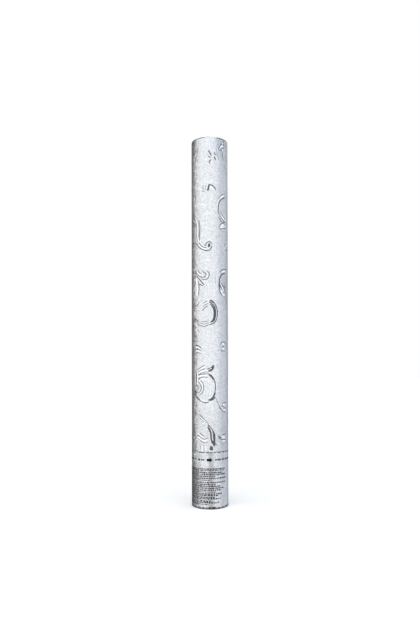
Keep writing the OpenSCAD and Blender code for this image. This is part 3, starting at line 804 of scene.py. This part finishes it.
    ("l", 0.9, [(-17.6, 184.6), (-13, 188.4), (-7, 191.6)]),
    ("w", 1.4, [(-16.4, 183.6), (-11.6, 187), (-6, 189.8)]),
    ("l", 0.9, [(-18.8, 180.4), (-13.6, 184.2), (-5.8, 187)]),
    ("w", 1.4, [(-17.6, 179.6), (-12.4, 182.4), (-5, 184.8)]),
    ("l", 0.8, [(-16, 178.6), (-10.4, 181.6), (-3, 182.6)]),
    # lower ring
    ("l", 1.1, [(-3.6, 180.2), (0, 179), (3.6, 176.2), (6.4, 171.8), (7.4, 166), (7.4, 160), (6.4, 155)]),
    ("w", 1.3, [(3.4, 178), (7.2, 172.8), (8.9, 166.6), (8.9, 160), (7.6, 154.6)]),
    ("l", 0.8, [(4.6, 172.4), (7.2, 166.4), (7.8, 161), (7.3, 155.8)]),
    ("l", 2.3, [(7.3, 156), (5.4, 150.8), (2.4, 146.9), (-2.4, 143.9)]),
    ("l", 1.6, [(7.2, 149.4), (4.8, 146.6), (0.6, 143.8)]),
    ("l", 1.9, [(-1.8, 178.4), (0.9, 177), (3.4, 174.2), (4.9, 171.4)]),
    ("l", 1.0, [(-22, 176.4), (-18, 178.2), (-11, 179.4), (-4, 180)]),
    ("w", 1.7, [(-19, 175.4), (-13, 177), (-7, 177.6), (-2, 177.2)]),
    ("l", 1.0, [(-17.6, 171), (-13.4, 174.6), (-8, 175.6), (-2, 175)]),
    ("w", 1.2, [(-16.4, 169.4), (-12.4, 172.6), (-7.6, 173.6)]),
    ("l", 2.0, [(-25.4, 154), (-21.4, 150.4), (-17.4, 146.8), (-13, 144)]),
    ("l", 1.3, [(-14, 144.6), (-9.6, 142), (-5, 141.6), (-1, 142.8)]),
    ("w", 1.2, [(-15, 147), (-10.6, 144), (-5.6, 143.2), (-1.4, 144.4)]),
    ("l", 3.2, [(-24, 157.6), (-21.6, 155.2), (-18.8, 154.6)]),
    ("l", 1.1, [(-17.8, 170), (-13.6, 166), (-11.8, 160.6), (-14, 156), (-17.6, 153.6)]),
    ("w", 1.5, [(-15.8, 170.6), (-11.6, 166.4), (-10.2, 160.8), (-12.2, 155.6), (-16.6, 151.8)]),
    ("l", 1.1, [(-14.6, 172), (-9.8, 167.4), (-8.4, 161), (-10.4, 155.4), (-15.4, 151)]),
    ("l", 1.6, [(-20.4, 182.4), (-20.2, 174), (-20.6, 164.8)]),
    ("w", 1.9, [(-18.3, 182), (-17.9, 174.6), (-18.5, 166)]),
    ("w", 1.9, [(-22.6, 181.4), (-22.2, 173), (-22.8, 164.6)]),
    ("l", 1.0, [(-16, 181), (-15.8, 176), (-16.4, 172)]),
    ("l", 1.0, [(-26, 160.6), (-23.4, 163.4), (-20, 164.2), (-17.4, 162.4), (-16, 159.4)]),
    ("l", 0.9, [(-23.6, 169.4), (-19.6, 170.4), (-16.4, 168.2)]),
    ("l", 0.6, [(7.4, 149.4), (8.8, 145.2), (10.2, 141.4)]),
    ("l", 0.8, [(9.6, 144), (12, 139), (14.4, 135), (18.6, 129.6), (25, 127.6)]),
    ("w", 1.3, [(12.6, 140.4), (15.4, 136.2), (19.4, 132)]),
    ("l", 0.9, [(12, 136.4), (13.4, 134), (16.8, 132)]),
    ("l", 1.1, [(15.6, 137), (18, 136.2), (20.8, 134.8)]),
    ("l", 1.0, [(17.6, 139), (21, 140.8), (25.6, 141.6)]),
    ("w", 1.8, [(18.4, 138), (21, 138.6), (24, 138)]),
    ("l", 1.1, [(19.6, 133), (23, 133.8), (27, 133)]),
    ("w", 1.6, [(20, 131.2), (23, 131.6), (26, 130.8)]),
    ("w", 1.8, [(24.2, 136.6), (25.4, 137.2), (26.8, 137)]),
    # stem and leaves above the seam
    ("l", 0.8, [(-20.6, 127), (-13, 122.8), (-6, 117.6), (-2.4, 113.2)]),
    ("l", 0.7, [(-20, 124.4), (-13.6, 120.6), (-7, 115.4)]),
    ("w", 0.9, [(-19.6, 125.8), (-13, 121.6), (-6.4, 116.4)]),
    ("l", 2.2, [(-2.8, 112.4), (1.6, 106.6), (4.4, 102.4), (6.6, 98.6)]),
    ("w", 0.7, [(-1.4, 109.8), (1.4, 106.2), (3.6, 102.8)]),
    ("l", 0.8, [(-14.6, 125.8), (-12, 123.6), (-9, 121.6)]),
    ("l", 2.4, [(-3.2, 109.2), (-0.6, 105.4), (1.0, 100.6), (1.4, 95), (2.6, 90), (4.2, 86.4)]),
    ("l", 3.6, [(5.1, 101.8), (5.6, 96.6), (5.4, 91.4), (5.5, 87), (6.2, 83.4)]),
    ("w", 0.7, [(3.3, 100.6), (3.6, 95.6), (4.3, 90.4)]),
    ("w", 0.7, [(7.9, 99.4), (8.1, 95), (7.8, 89.6)]),
    ("w", 0.5, [(-0.6, 101.4), (-0.2, 97), (0.4, 92.4)]),
    ("l", 1.1, [(6.6, 88), (8, 86.2), (9.8, 84.6)]),
    ("l", 4.2, [(0.2, 84.0), (1.8, 82.2), (3.6, 79.8)]),
    ("l", 2.4, [(-0.6, 81.8), (1.2, 79.4), (4.4, 79.2)]),
    ("l", 0.7, [(-20.6, 97.4), (-16.4, 97.6), (-12.4, 94.6), (-8, 92.8), (-2.4, 94.8)]),
    ("w", 1.4, [(-18, 95.4), (-13, 92.8), (-8.6, 90.6), (-4, 91.6)]),
    ("l", 0.8, [(-17, 93.4), (-12.4, 90.4), (-7.6, 88.2), (-3, 88.8)]),
    ("l", 1.0, [(-15.4, 101), (-11.6, 99), (-8.2, 96.4)]),
    ("w", 1.0, [(-18, 100), (-13, 97.8), (-9, 95)]),
    ("l", 1.3, [(10.4, 97.6), (13.4, 95), (17, 94.2)]),
    ("l", 0.9, [(11.4, 94.6), (16, 92), (21, 91.4), (26, 91.8)]),
    ("w", 1.7, [(16.4, 96.2), (20.4, 94.2), (24.6, 94)]),
    ("l", 1.1, [(17.4, 98.4), (22.4, 98.6), (26.6, 98.2)]),
    ("w", 1.6, [(17.6, 90), (21, 89.4), (24.6, 89.8)]),
    ("w", 1.6, [(-11.8, 84), (-10.8, 80.4), (-11.4, 77.4)]),
    ("w", 1.3, [(-6.4, 84.6), (-5.2, 80.8), (-6, 77.6)]),
    ("l", 0.35, [(-14, 85.2), (-13, 81), (-14, 77.4)]),
    ("l", 0.35, [(-8.8, 84.6), (-8, 81), (-8.8, 77.6)]),
    ("l", 0.6, [(-24, 84), (-21.4, 80.6), (-21.8, 77.4)]),
]


# The sides and the back: the same kind of flourish, in a layout of its own
def turned(pts, s0, z0, k=1.0, mir=1, ang=0.0):
    ca, sa = math.cos(math.radians(ang)), math.sin(math.radians(ang))
    return [(s0 + k * (mir * x * ca - y * sa), z0 + k * (mir * x * sa + y * ca)) for x, y in pts]


def arc_pts(r, a0, a1, n=8, grow=0.0, cx=0.0, cy=0.0):
    out = []
    for i in range(n + 1):
        a = math.radians(lerp(a0, a1, i / n))
        rr = r * (1 + grow * i / n)
        out.append((cx + rr * math.cos(a), cy + rr * math.sin(a)))
    return out


MOTIF_RING = [
    (1.7, arc_pts(16, 120, -110, 14)), (1.3, arc_pts(13.6, 80, -70, 10)), (1.2, arc_pts(11.4, 60, -40, 8)),
    (1.2, arc_pts(16, 150, 205, 6)), (2.2, [(-13, 3), (-11, 1), (-8.6, 0.6)]),
    (1.2, [(-13, 15), (-6, 17.5), (1, 18.6)]), (1.1, arc_pts(6, 150, -60, 9, 0.0, -9, 1)),
    (1.1, [(7, -15), (9, -21), (14, -27), (20, -30)]), (1.2, [(10, -24), (14, -22), (18, -21.6)]),
    (1.2, [(13, -27), (18, -26), (22, -23.6)]), (2.2, [(-2, 21), (3, 23), (7, 27)]), (1.3, [(-8, 19.6), (-2, 24), (4, 26.4)]),
]
MOTIF_SCROLL = [
    (3.0, [(-8, 24), (-2, 20), (1, 12), (1.4, 3), (-1, -6), (-2, -13)]),
    (1.1, [(3.5, 20), (5, 11), (4.6, 2), (2.2, -6), (2, -12), (5, -16)]),
    (1.4, [(-5, -12), (-2, -18), (4, -21.6), (10, -22), (13.6, -18.6), (12.6, -14.6), (9, -13.8), (7.4, -16.6)]),
    (1.1, [(-14, 27), (-9, 28.4), (-4, 27)]), (1.1, [(-16, 21), (-11, 21), (-7, 18.6)]),
    (1.0, [(-11, -9), (-7, -8), (-4, -5)]), (1.0, [(-13, -14), (-9, -14.6), (-5, -13)]),
]
MOTIF_SPRIG = [
    (2.0, [(-3, 9), (0, 5), (2, 0)]), (1.3, [(-4, 0), (-1, -1.4), (2, -2)]), (1.3, [(3, -4), (0.6, -7), (0, -11)]),
    (1.2, [(6, 7), (8, 3), (8.6, -1)]), (1.1, [(7, -4), (9.4, -6), (8.6, -8.6), (6.4, -8)]), (1.1, [(-3, -9), (-5, -12)]),
]
MOTIF_COMMA = [
    (2.2, [(0, 5), (-0.6, 0), (-2.6, -5)]), (1.3, [(0, 5), (5, 4), (9, 0), (11, -4)]), (1.0, [(2, 1), (6, -1), (9, -6)]),
    (1.0, [(-8, 5), (-9.4, 0), (-7, -4)]), (0.9, [(-11, -5), (-8, -7), (-5, -7)]),
]
MOTIF_SPURS = [
    (1.3, [(-10, 12), (-6, 6), (0, 3)]), (1.3, [(0, 12), (4, 8), (5, 3), (2, 0)]), (1.2, [(8, 11), (10, 5), (7, 0), (3, -3)]),
    (1.5, [(-11, 5), (-4, -2), (2, -9)]), (1.2, [(-6, 3), (0, -2), (6, -3)]), (2.6, [(-11, 0), (-9.6, -8), (-9.4, -16), (-10.6, -23)]),
    (1.2, [(-6.6, -6), (-6, -13), (-7, -20)]), (1.2, [(-16, -5), (-14.6, -9), (-16, -13), (-14.6, -17)]),
]
MOTIF_STEM = [
    (1.0, [(-22, 14), (-13, 9), (-5, 2), (2, -7), (7, -13)]), (2.0, [(-4, -5), (0, -9), (1.4, -15), (0, -21)]),
    (2.6, [(5, -12), (6.6, -17), (6, -23)]), (1.3, [(2, -23), (5, -28), (8, -31)]), (1.2, [(-18, -14), (-12, -14), (-6, -17)]),
    (1.1, [(12, -15), (17, -18), (23, -18)]), (1.1, [(18, -12), (22, -11), (26, -11.6)]), (1.0, [(-12, -19), (-7, -22)]),
]
BACK = [
    (MOTIF_SPRIG, 52, 470, 1.0, -1, 0), (MOTIF_COMMA, 78, 452, 1.1, 1, 0), (MOTIF_SPRIG, 108, 478, 1.0, 1, 12),
    (MOTIF_RING, 68, 404, 0.9, -1, 0), (MOTIF_SCROLL, 104, 412, 1.0, -1, 0), (MOTIF_COMMA, 44, 372, 0.9, -1, 0),
    (MOTIF_SPURS, 80, 352, 1.0, 1, 0), (MOTIF_SPRIG, 112, 352, 1.0, -1, 0), (MOTIF_SCROLL, 54, 314, 1.0, 1, 0),
    (MOTIF_RING, 98, 290, 0.95, 1, 0), (MOTIF_COMMA, 64, 270, 1.0, 1, 0), (MOTIF_SPURS, 48, 248, 0.9, -1, 0),
    (MOTIF_SCROLL, 82, 226, 1.0, -1, 0), (MOTIF_COMMA, 113, 236, 1.0, 1, 0), (MOTIF_RING, 58, 182, 0.9, -1, 0),
    (MOTIF_SPURS, 104, 190, 1.0, -1, 0), (MOTIF_SPRIG, 82, 164, 1.0, 1, 0), (MOTIF_STEM, 98, 140, 0.9, -1, 0),
    (MOTIF_STEM, 52, 124, 0.85, 1, 0), (MOTIF_COMMA, 112, 94, 0.9, 1, 0),
]


def build_scrolls():
    key, top = Strokes(False), Strokes(False)
    for kind, w, pts in FRONT:
        if kind == "f":
            foil(key, top, pts, w)
        elif kind == "w":
            top.add(pts, w, FOIL_H, Strokes.FOIL, 0, (1.6, 1.6))
        else:
            line(key, pts, w)
    # keylines, with the painted shade lines along the muzzle's rim
    key.object("scroll_keylines_and_painted_rim_shade_front", [MAT["key"]], "barrel", "foil_wrap")
    top.object("scroll_foil_front", [MAT["foil"]], "barrel", "foil_wrap")
    key, top = Strokes(False), Strokes(False)
    for motif, s0, z0, k, mir, ang in BACK:
        for w, pts in motif:
            foil(key, top, turned(pts, s0, z0, k, mir, ang), w)
    key.object("scroll_keylines_back", [MAT["key"]], "barrel", "foil_wrap")
    top.object("scroll_foil_back", [MAT["foil"]], "barrel", "foil_wrap")


build_scrolls()


# ---------------------------------------------------------------- printing on the grip
class Lcg:
    """A small seeded generator, so each run gives the same dashes."""

    def __init__(self, seed):
        self.x = seed

    def __call__(self, a, b):
        self.x = (1103515245 * self.x + 12345) % 2147483648
        return a + (b - a) * self.x / 2147483648


def build_print():
    ink, bold = Strokes(True), Strokes(True)
    h = 0.03

    def dash(s0, s1, z, w, to=ink):
        n = max(1, int((s1 - s0) / 1.2))
        to.add([(lerp(s0, s1, i / n), z) for i in range(n + 1)] if n > 1 else [(s0, z), (s1, z)],
                w, h, Strokes.FLAT, 0, (0.0, 0.0), None, 1.2)

    def row(s0, s1, z, w, rnd, a, b, g0, g1, to=ink, wave=0.08):
        s = s0
        while s < s1 - 0.5:
            e = min(s1, s + rnd(a, b))
            dash(s, e, z + rnd(-wave, wave), w * rnd(0.85, 1.15), to)
            s = e + rnd(g0, g1)

    # one line of bold dashes level with the arrow
    for s0, s1 in ((-46, -40), (-37, -25.5), (-23.4, -20), (-17.4, -14), (-12.6, -7.4), (6.4, 9.4), (10, 15.2), (17.2, 21.2), (22.6, 27),
                   (28, 36), (39, 45)):
        row(s0, s1, 65.5, 2.3, Lcg(int(s0 * 10) + 900), 0.9, 2.6, 0.28, 0.42, bold)
    # ruled rows of the print block: plain broken hairlines
    ends = [22, 19, 16, 23, 6, 23, 0, 21, 6, 13, 19, 14, 6, 15, 10, 5, 13, 0, 12, -4]
    rows = [53.4, 51.3, 48.5, 46, 43.5, 41, 38.5, 35.5, 33, 30.5, 28, 25.5, 23, 20.5, 18.5, 16, 14, 11, 9, 6.6]
    rnd = Lcg(77)
    for q, (z, end) in enumerate(zip(rows, ends)):
        faint = q in (1, 6, 12, 19)
        row(-44 - rnd(0, 4), -14.6, z, 1.4, rnd, 0.7, 2.2, 0.5, 0.9, wave=0.3)
        row(-40 - rnd(0, 4), -16, z - 1.3, 0.9, rnd, 0.5, 1.4, 0.7, 1.8, wave=0.2)
        row(-13.4 - rnd(0, 0.8), end + 1.5, z, 1.2 if faint else 1.8, rnd, 0.9, 3.4, 0.5, 1.0, wave=0.12)
    # the same on the other side
    rnd = Lcg(911)
    for z in rows:
        row(52.0, rnd(84, 104), z, 1.0, rnd, 1.2, 4.6, 0.45, 0.9)
    ink.object("grip_print_rules", [MAT["print_ink_and_painted_shade"]], "grip", "foil_wrap", 40)
    bold.object("grip_dash_line", [MAT["black"]], "grip", "foil_wrap", 40)

    # the arrow: a raised plate cut from a fine grid, so that it follows the tube
    def half(s):
        return 1.75 if s <= -0.6 else 3.4 * (3.0 - s) / 3.6
    xs = [-4.6 + 0.4 * i for i in range(10)] + [-0.6, -0.6] + [-0.6 + 0.36 * i for i in range(1, 11)]
    verts, faces, m = [], [], 6
    for i, s in enumerate(xs):
        w = half(s)
        if i == 11:
            w = 3.4
        w = max(w, 0.04)
        for lvl, u in ((-0.05, -1.0), (0.035, -0.97), (0.04, -0.35), (0.04, 0.35), (0.035, 0.97), (-0.05, 1.0)):
            z = 65.4 + u * w
            verts.append(at(s, wrap_radius(s, z, True) + lvl, z))
    for i in range(len(xs) - 1):
        for j in range(m):
            j2 = (j + 1) % m
            faces.append((i * m + j, (i + 1) * m + j, (i + 1) * m + j2, i * m + j2))
    faces.append(tuple(range(m)))
    faces.append(tuple((len(xs) - 1) * m + j for j in reversed(range(m))))
    mesh_object("grip_arrow", verts, faces, MAT["black"], "grip", sharp=30)

    # painted shadow of the gap at the seam: a dark, broken line beside it
    painted_shade_strokes = Strokes(True)
    rnd = Lcg(5)
    s = -78.0
    while s < 78.0:
        e = s + rnd(1.0, 4.5)
        painted_shade_strokes.add([(lerp(s, e, i / 5), 74.9 + rnd(-0.12, 0.12)) for i in range(6)], rnd(0.8, 1.35), 0.03, Strokes.FLAT, 0, (0.6, 0.6), None, 1.0)
        s = e + rnd(0.5, 3.2)
    # painted shade along the foot: a dark line at the wrap's lower edge, and wider dark dashes just above it
    s = -78.0
    while s < 77.0:
        e = min(78.0, s + rnd(4.0, 13.0))
        n = int(e - s) + 2
        painted_shade_strokes.add([(lerp(s, e, i / n), 1.95 + rnd(-0.05, 0.05)) for i in range(n + 1)], rnd(0.45, 0.75), 0.03, Strokes.FLAT, 0, (0.8, 0.8), None, 1.0)
        s = e + rnd(0.3, 1.0)
    for s0, s1, w in ((-41, -36, 0.8), (-33, -27, 0.9), (-24, -20.5, 1.2), (-18, -12.8, 0.9), (-11, -7.2, 1.2), (-6.0, -3.4, 1.4), (-2.8, 1.4, 2.0), (2.0, 7.4, 2.1),
                      (11, 14.4, 0.9), (16, 19.6, 1.2), (22, 28.4, 0.9), (31, 37, 1.0), (52, 60, 0.8), (66, 72, 0.9), (-70, -61, 0.9), (-56, -50, 0.8)):
        n = max(3, int(s1 - s0))
        painted_shade_strokes.add([(lerp(s0, s1, i / n), 2.5 + rnd(-0.12, 0.12)) for i in range(n + 1)], w, 0.03, Strokes.FLAT, 0, (0.7, 0.7), None, 0.9)
    # the seam's painted shadow and the foot's painted shade, in the grey print ink
    painted_shade_strokes.object("grip_painted_seam_and_foot_shade", [MAT["print_ink_and_painted_shade"]], "grip", "foil_wrap", 40)


build_print()


# ---------------------------------------------------------------- confetti
def build_confetti():
    specs = (("lower", 0), ("middle", 1), ("upper", 2))
    N = 28
    rings = (0.0, 3.4, 6.6, 9.6, 11.6, 12.4)
    for name, k in specs:
        verts, faces = [], []
        for j in range(50 * k, 50 * k + 50):
            rnd = Lcg(1000 + 37 * j)
            m = (Matrix.Translation((0, 0, 219.4 + 1.7 * j))
                 @ Matrix.Rotation(math.radians(4 * math.cos(math.radians(9 * j))), 4, "Y")
                 @ Matrix.Rotation(math.radians(4 * math.sin(math.radians(11 * j + 20))), 4, "X")
                 @ Matrix.Translation((8.4 * math.cos(math.radians(97 * j)), 8.4 * math.sin(math.radians(97 * j)), 0)))
            f1, f2, p1, p2 = 3 + int(rnd(0, 2.99)), 7 + int(rnd(0, 3.99)), rnd(0, 6.28), rnd(0, 6.28)
            base = len(verts)
            for side in (0.03, -0.03):
                for q, r in enumerate(rings):
                    for i in range(N if q else 1):
                        a = 2 * math.pi * i / N
                        w = (r / 12.4) ** 1.2
                        z = w * (0.075 * math.sin(f1 * a + p1) + 0.05 * math.asin(math.sin(f2 * a + p2)) / 1.57)
                        rr = r * (1 - 0.02 * (math.sin(5 * a + p2) + 0.6 * math.sin(9 * a + p1)) * (r / 12.4) ** 3)
                        verts.append((m @ Vector((rr * math.cos(a), rr * math.sin(a), z + side))) * MM)
            per = 1 + (len(rings) - 1) * N

            def v(sd, q, i):
                return base + sd * per + (0 if q == 0 else 1 + (q - 1) * N + i % N)
            for i in range(N):
                faces.append((v(0, 0, 0), v(0, 1, i), v(0, 1, i + 1)))
                faces.append((v(1, 0, 0), v(1, 1, i + 1), v(1, 1, i)))
                for q in range(1, len(rings) - 1):
                    faces.append((v(0, q, i), v(0, q + 1, i), v(0, q + 1, i + 1), v(0, q, i + 1)))
                    faces.append((v(1, q, i), v(1, q, i + 1), v(1, q + 1, i + 1), v(1, q + 1, i)))
                e = len(rings) - 1
                faces.append((v(0, e, i), v(1, e, i), v(1, e, i + 1), v(0, e, i + 1)))
        ob = mesh_object("foil_discs_" + name, verts, faces, MAT["confetti"], "charge_" + name, sharp=35)
        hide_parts("confetti_" + name)


build_confetti()


# ---------------------------------------------------------------- floor, world, camera
def build_floor():
    n, ring = 96, (0.0, 0.2, 0.6, 1.5, 6.0)
    verts, faces = [Vector((0, 0, 0))], []
    for r in ring[1:]:
        for i in range(n):
            a = 2 * math.pi * i / n
            verts.append(Vector((r * math.cos(a), r * math.sin(a), 0)))
    for i in range(n):
        faces.append((0, 1 + i, 1 + (i + 1) % n))
        for q in range(len(ring) - 2):
            a, b = 1 + q * n, 1 + (q + 1) * n
            faces.append((a + i, b + i, b + (i + 1) % n, a + (i + 1) % n))
    me = bpy.data.meshes.new("floor")
    me.from_pydata([tuple(v) for v in verts], [], faces)
    mt = Mat("pale_floor", Roughness=0.9)
    mt.b.inputs["Specular IOR Level"].default_value = 0.0
    mt.b.inputs["Emission Color"].default_value = (1, 1, 1, 1)
    mt.b.inputs["Emission Strength"].default_value = 0.16
    cloud = mt.noise(60.0, 2.0, 0.5)
    mt.color(mt.ramp(cloud.outputs["Fac"], [(0.3, (0.90, 0.90, 0.90)), (0.7, (0.92, 0.92, 0.92))]))
    me.materials.append(mt.m)
    ob = bpy.data.objects.new("floor", me)
    scene.collection.objects.link(ob)
    ob.visible_glossy = False


build_floor()

# Near the horizon, by azimuth (0 = in front, + to the right): bright strip lights at both sides, a dark gap in front
BAND = [(-180, 1.2), (-160, 0.3), (-140, 0.14), (-120, 0.16), (-104, 0.35), (-97, 1.2), (-73, 1.2), (-66, 1.1), (-40, 1.1), (-12, 1.05), (-6, 1.02), (-2, 0.95), (8, 0.92), (24, 0.92), (35, 0.92), (41, 0.95), (51, 0.9), (57, 0.5), (72, 0.5), (77, 1.2), (101, 1.2), (111, 0.9), (120, 0.6), (130, 0.42), (145, 0.35), (165, 0.6), (180, 1.2)]
# Higher up and lower down: a broad soft key in front, less at the sides
KEY = [(-180, 0.08), (-150, 0.08), (-130, 0.27), (-112, 0.1), (-95, 2.4), (-75, 1.4), (-55, 1.95), (-35, 2.3), (-15, 2.1), (5, 2.3), (65, 2.35), (85, 0.27), (105, 0.12), (130, 1.95), (155, 0.08), (180, 0.08)]
TOP_LIGHT = 0.85
FLOOR_LIGHT = 0.42
LOW_SCALE = 1.10         # the fill from below against the key from above
HIGH_SCALE = 0.97


def tint(az, v):
    """Cooler at the right than in front, neutral behind and at the left's dark side."""
    neutral, front, right = (1.0, 1.0, 0.99), (0.972, 1.0, 1.04), (0.945, 1.0, 1.085)
    if az < 0:
        k, a, b = smoothstep(-110, -45, az), neutral, front
    elif az < 165:
        k, a, b = smoothstep(10, 90, az), front, right
    else:
        k, a, b = smoothstep(165, 180, az), right, neutral
    return tuple(v * lerp(p, q, k) for p, q in zip(a, b))


def build_world():
    w = bpy.data.worlds.new("soft_studio")
    scene.world = w
    w.use_nodes = True
    nt = w.node_tree
    nt.nodes.clear()

    def N(kind, **props):
        n = nt.nodes.new(kind)
        for k, v in props.items():
            setattr(n, k, v)
        return n
    tc, sep = N("ShaderNodeTexCoord"), N("ShaderNodeSeparateXYZ")
    nt.links.new(tc.outputs["Generated"], sep.inputs[0])
    neg = N("ShaderNodeMath", operation="MULTIPLY")
    neg.inputs[1].default_value = -1.0
    nt.links.new(sep.outputs["Y"], neg.inputs[0])
    at2 = N("ShaderNodeMath", operation="ARCTAN2")
    nt.links.new(sep.outputs["X"], at2.inputs[0])
    nt.links.new(neg.outputs[0], at2.inputs[1])
    fac = N("ShaderNodeMath", operation="MULTIPLY_ADD")
    fac.inputs[1].default_value = 1 / (2 * math.pi)
    fac.inputs[2].default_value = 0.5
    nt.links.new(at2.outputs[0], fac.inputs[0])

    def ramp(stops, scale):
        n = N("ShaderNodeValToRGB")
        cr = n.color_ramp
        while len(cr.elements) > 1:
            cr.elements.remove(cr.elements[-1])
        for q, (az, v) in enumerate(stops):
            e = cr.elements[0] if q == 0 else cr.elements.new(0.5 + az / 360.0)
            if q == 0:
                e.position = 0.5 + az / 360.0
            e.color = rgba(tuple(c / scale for c in tint(az, v)))
        nt.links.new(fac.outputs[0], n.inputs["Fac"])
        m = N("ShaderNodeVectorMath", operation="SCALE")
        m.inputs["Scale"].default_value = scale
        nt.links.new(n.outputs["Color"], m.inputs[0])
        return m.outputs[0]

    def step(a, b, lo=0.0, hi=1.0):
        n = N("ShaderNodeMapRange", interpolation_type="SMOOTHSTEP")
        for k, v in (("From Min", a), ("From Max", b), ("To Min", lo), ("To Max", hi)):
            n.inputs[k].default_value = v
        nt.links.new(sep.outputs["Z"], n.inputs["Value"])
        return n.outputs["Result"]

    def mixc(f, a, b):
        n = N("ShaderNodeMix", data_type="RGBA")
        nt.links.new(f, n.inputs["Factor"])
        for s, x in ((6, a), (7, b)):
            if isinstance(x, tuple):
                n.inputs[s].default_value = rgba(x)
            else:
                nt.links.new(x, n.inputs[s])
        return n.outputs[2]

    def scaled(sock, k):
        m = N("ShaderNodeVectorMath", operation="SCALE")
        m.inputs["Scale"].default_value = k
        nt.links.new(sock, m.inputs[0])
        return m.outputs[0]
    band, key = ramp(BAND, 4.0), ramp(KEY, 4.0)
    up = mixc(step(math.sin(math.radians(24)), math.sin(math.radians(31))), band, scaled(key, HIGH_SCALE))
    up = mixc(step(math.sin(math.radians(50)), math.sin(math.radians(62))), up, (TOP_LIGHT, TOP_LIGHT, TOP_LIGHT))
    down = mixc(step(-math.sin(math.radians(46)), -math.sin(math.radians(32))), (FLOOR_LIGHT, FLOOR_LIGHT, FLOOR_LIGHT), scaled(key, LOW_SCALE))
    allc = mixc(step(-math.sin(math.radians(21)), -math.sin(math.radians(13))), down, up)
    bg = N("ShaderNodeBackground")
    nt.links.new(allc, bg.inputs["Color"])
    white = N("ShaderNodeBackground")
    white.inputs["Color"].default_value = (1, 1, 1, 1)
    lp = N("ShaderNodeLightPath")
    mx = N("ShaderNodeMixShader")
    nt.links.new(lp.outputs["Is Camera Ray"], mx.inputs[0])
    nt.links.new(bg.outputs[0], mx.inputs[1])
    nt.links.new(white.outputs[0], mx.inputs[2])
    out = N("ShaderNodeOutputWorld")
    nt.links.new(mx.outputs[0], out.inputs["Surface"])


build_world()
scene.view_settings.view_transform = "Standard"
scene.view_settings.look = "None"
scene.view_settings.exposure = 0.0
scene.view_settings.gamma = 1.0

cam_data = bpy.data.cameras.new("camera")
cam_data.sensor_width = 36.0
cam_data.lens = 30.80
cam_data.shift_x = 0.0002
cam_data.shift_y = 0.0567
cam_data.clip_start, cam_data.clip_end = 0.01, 50.0
cam = bpy.data.objects.new("camera", cam_data)
scene.collection.objects.link(cam)
cam.rotation_mode = "QUATERNION"
pitch, roll = 0.0242, -0.0021
look = Matrix.Rotation(math.pi / 2 + pitch, 4, "X") @ Matrix.Rotation(roll, 4, "Z")
cam.matrix_world = Matrix.Translation((0.0, -0.7441, 0.1933)) @ look
scene.camera = cam
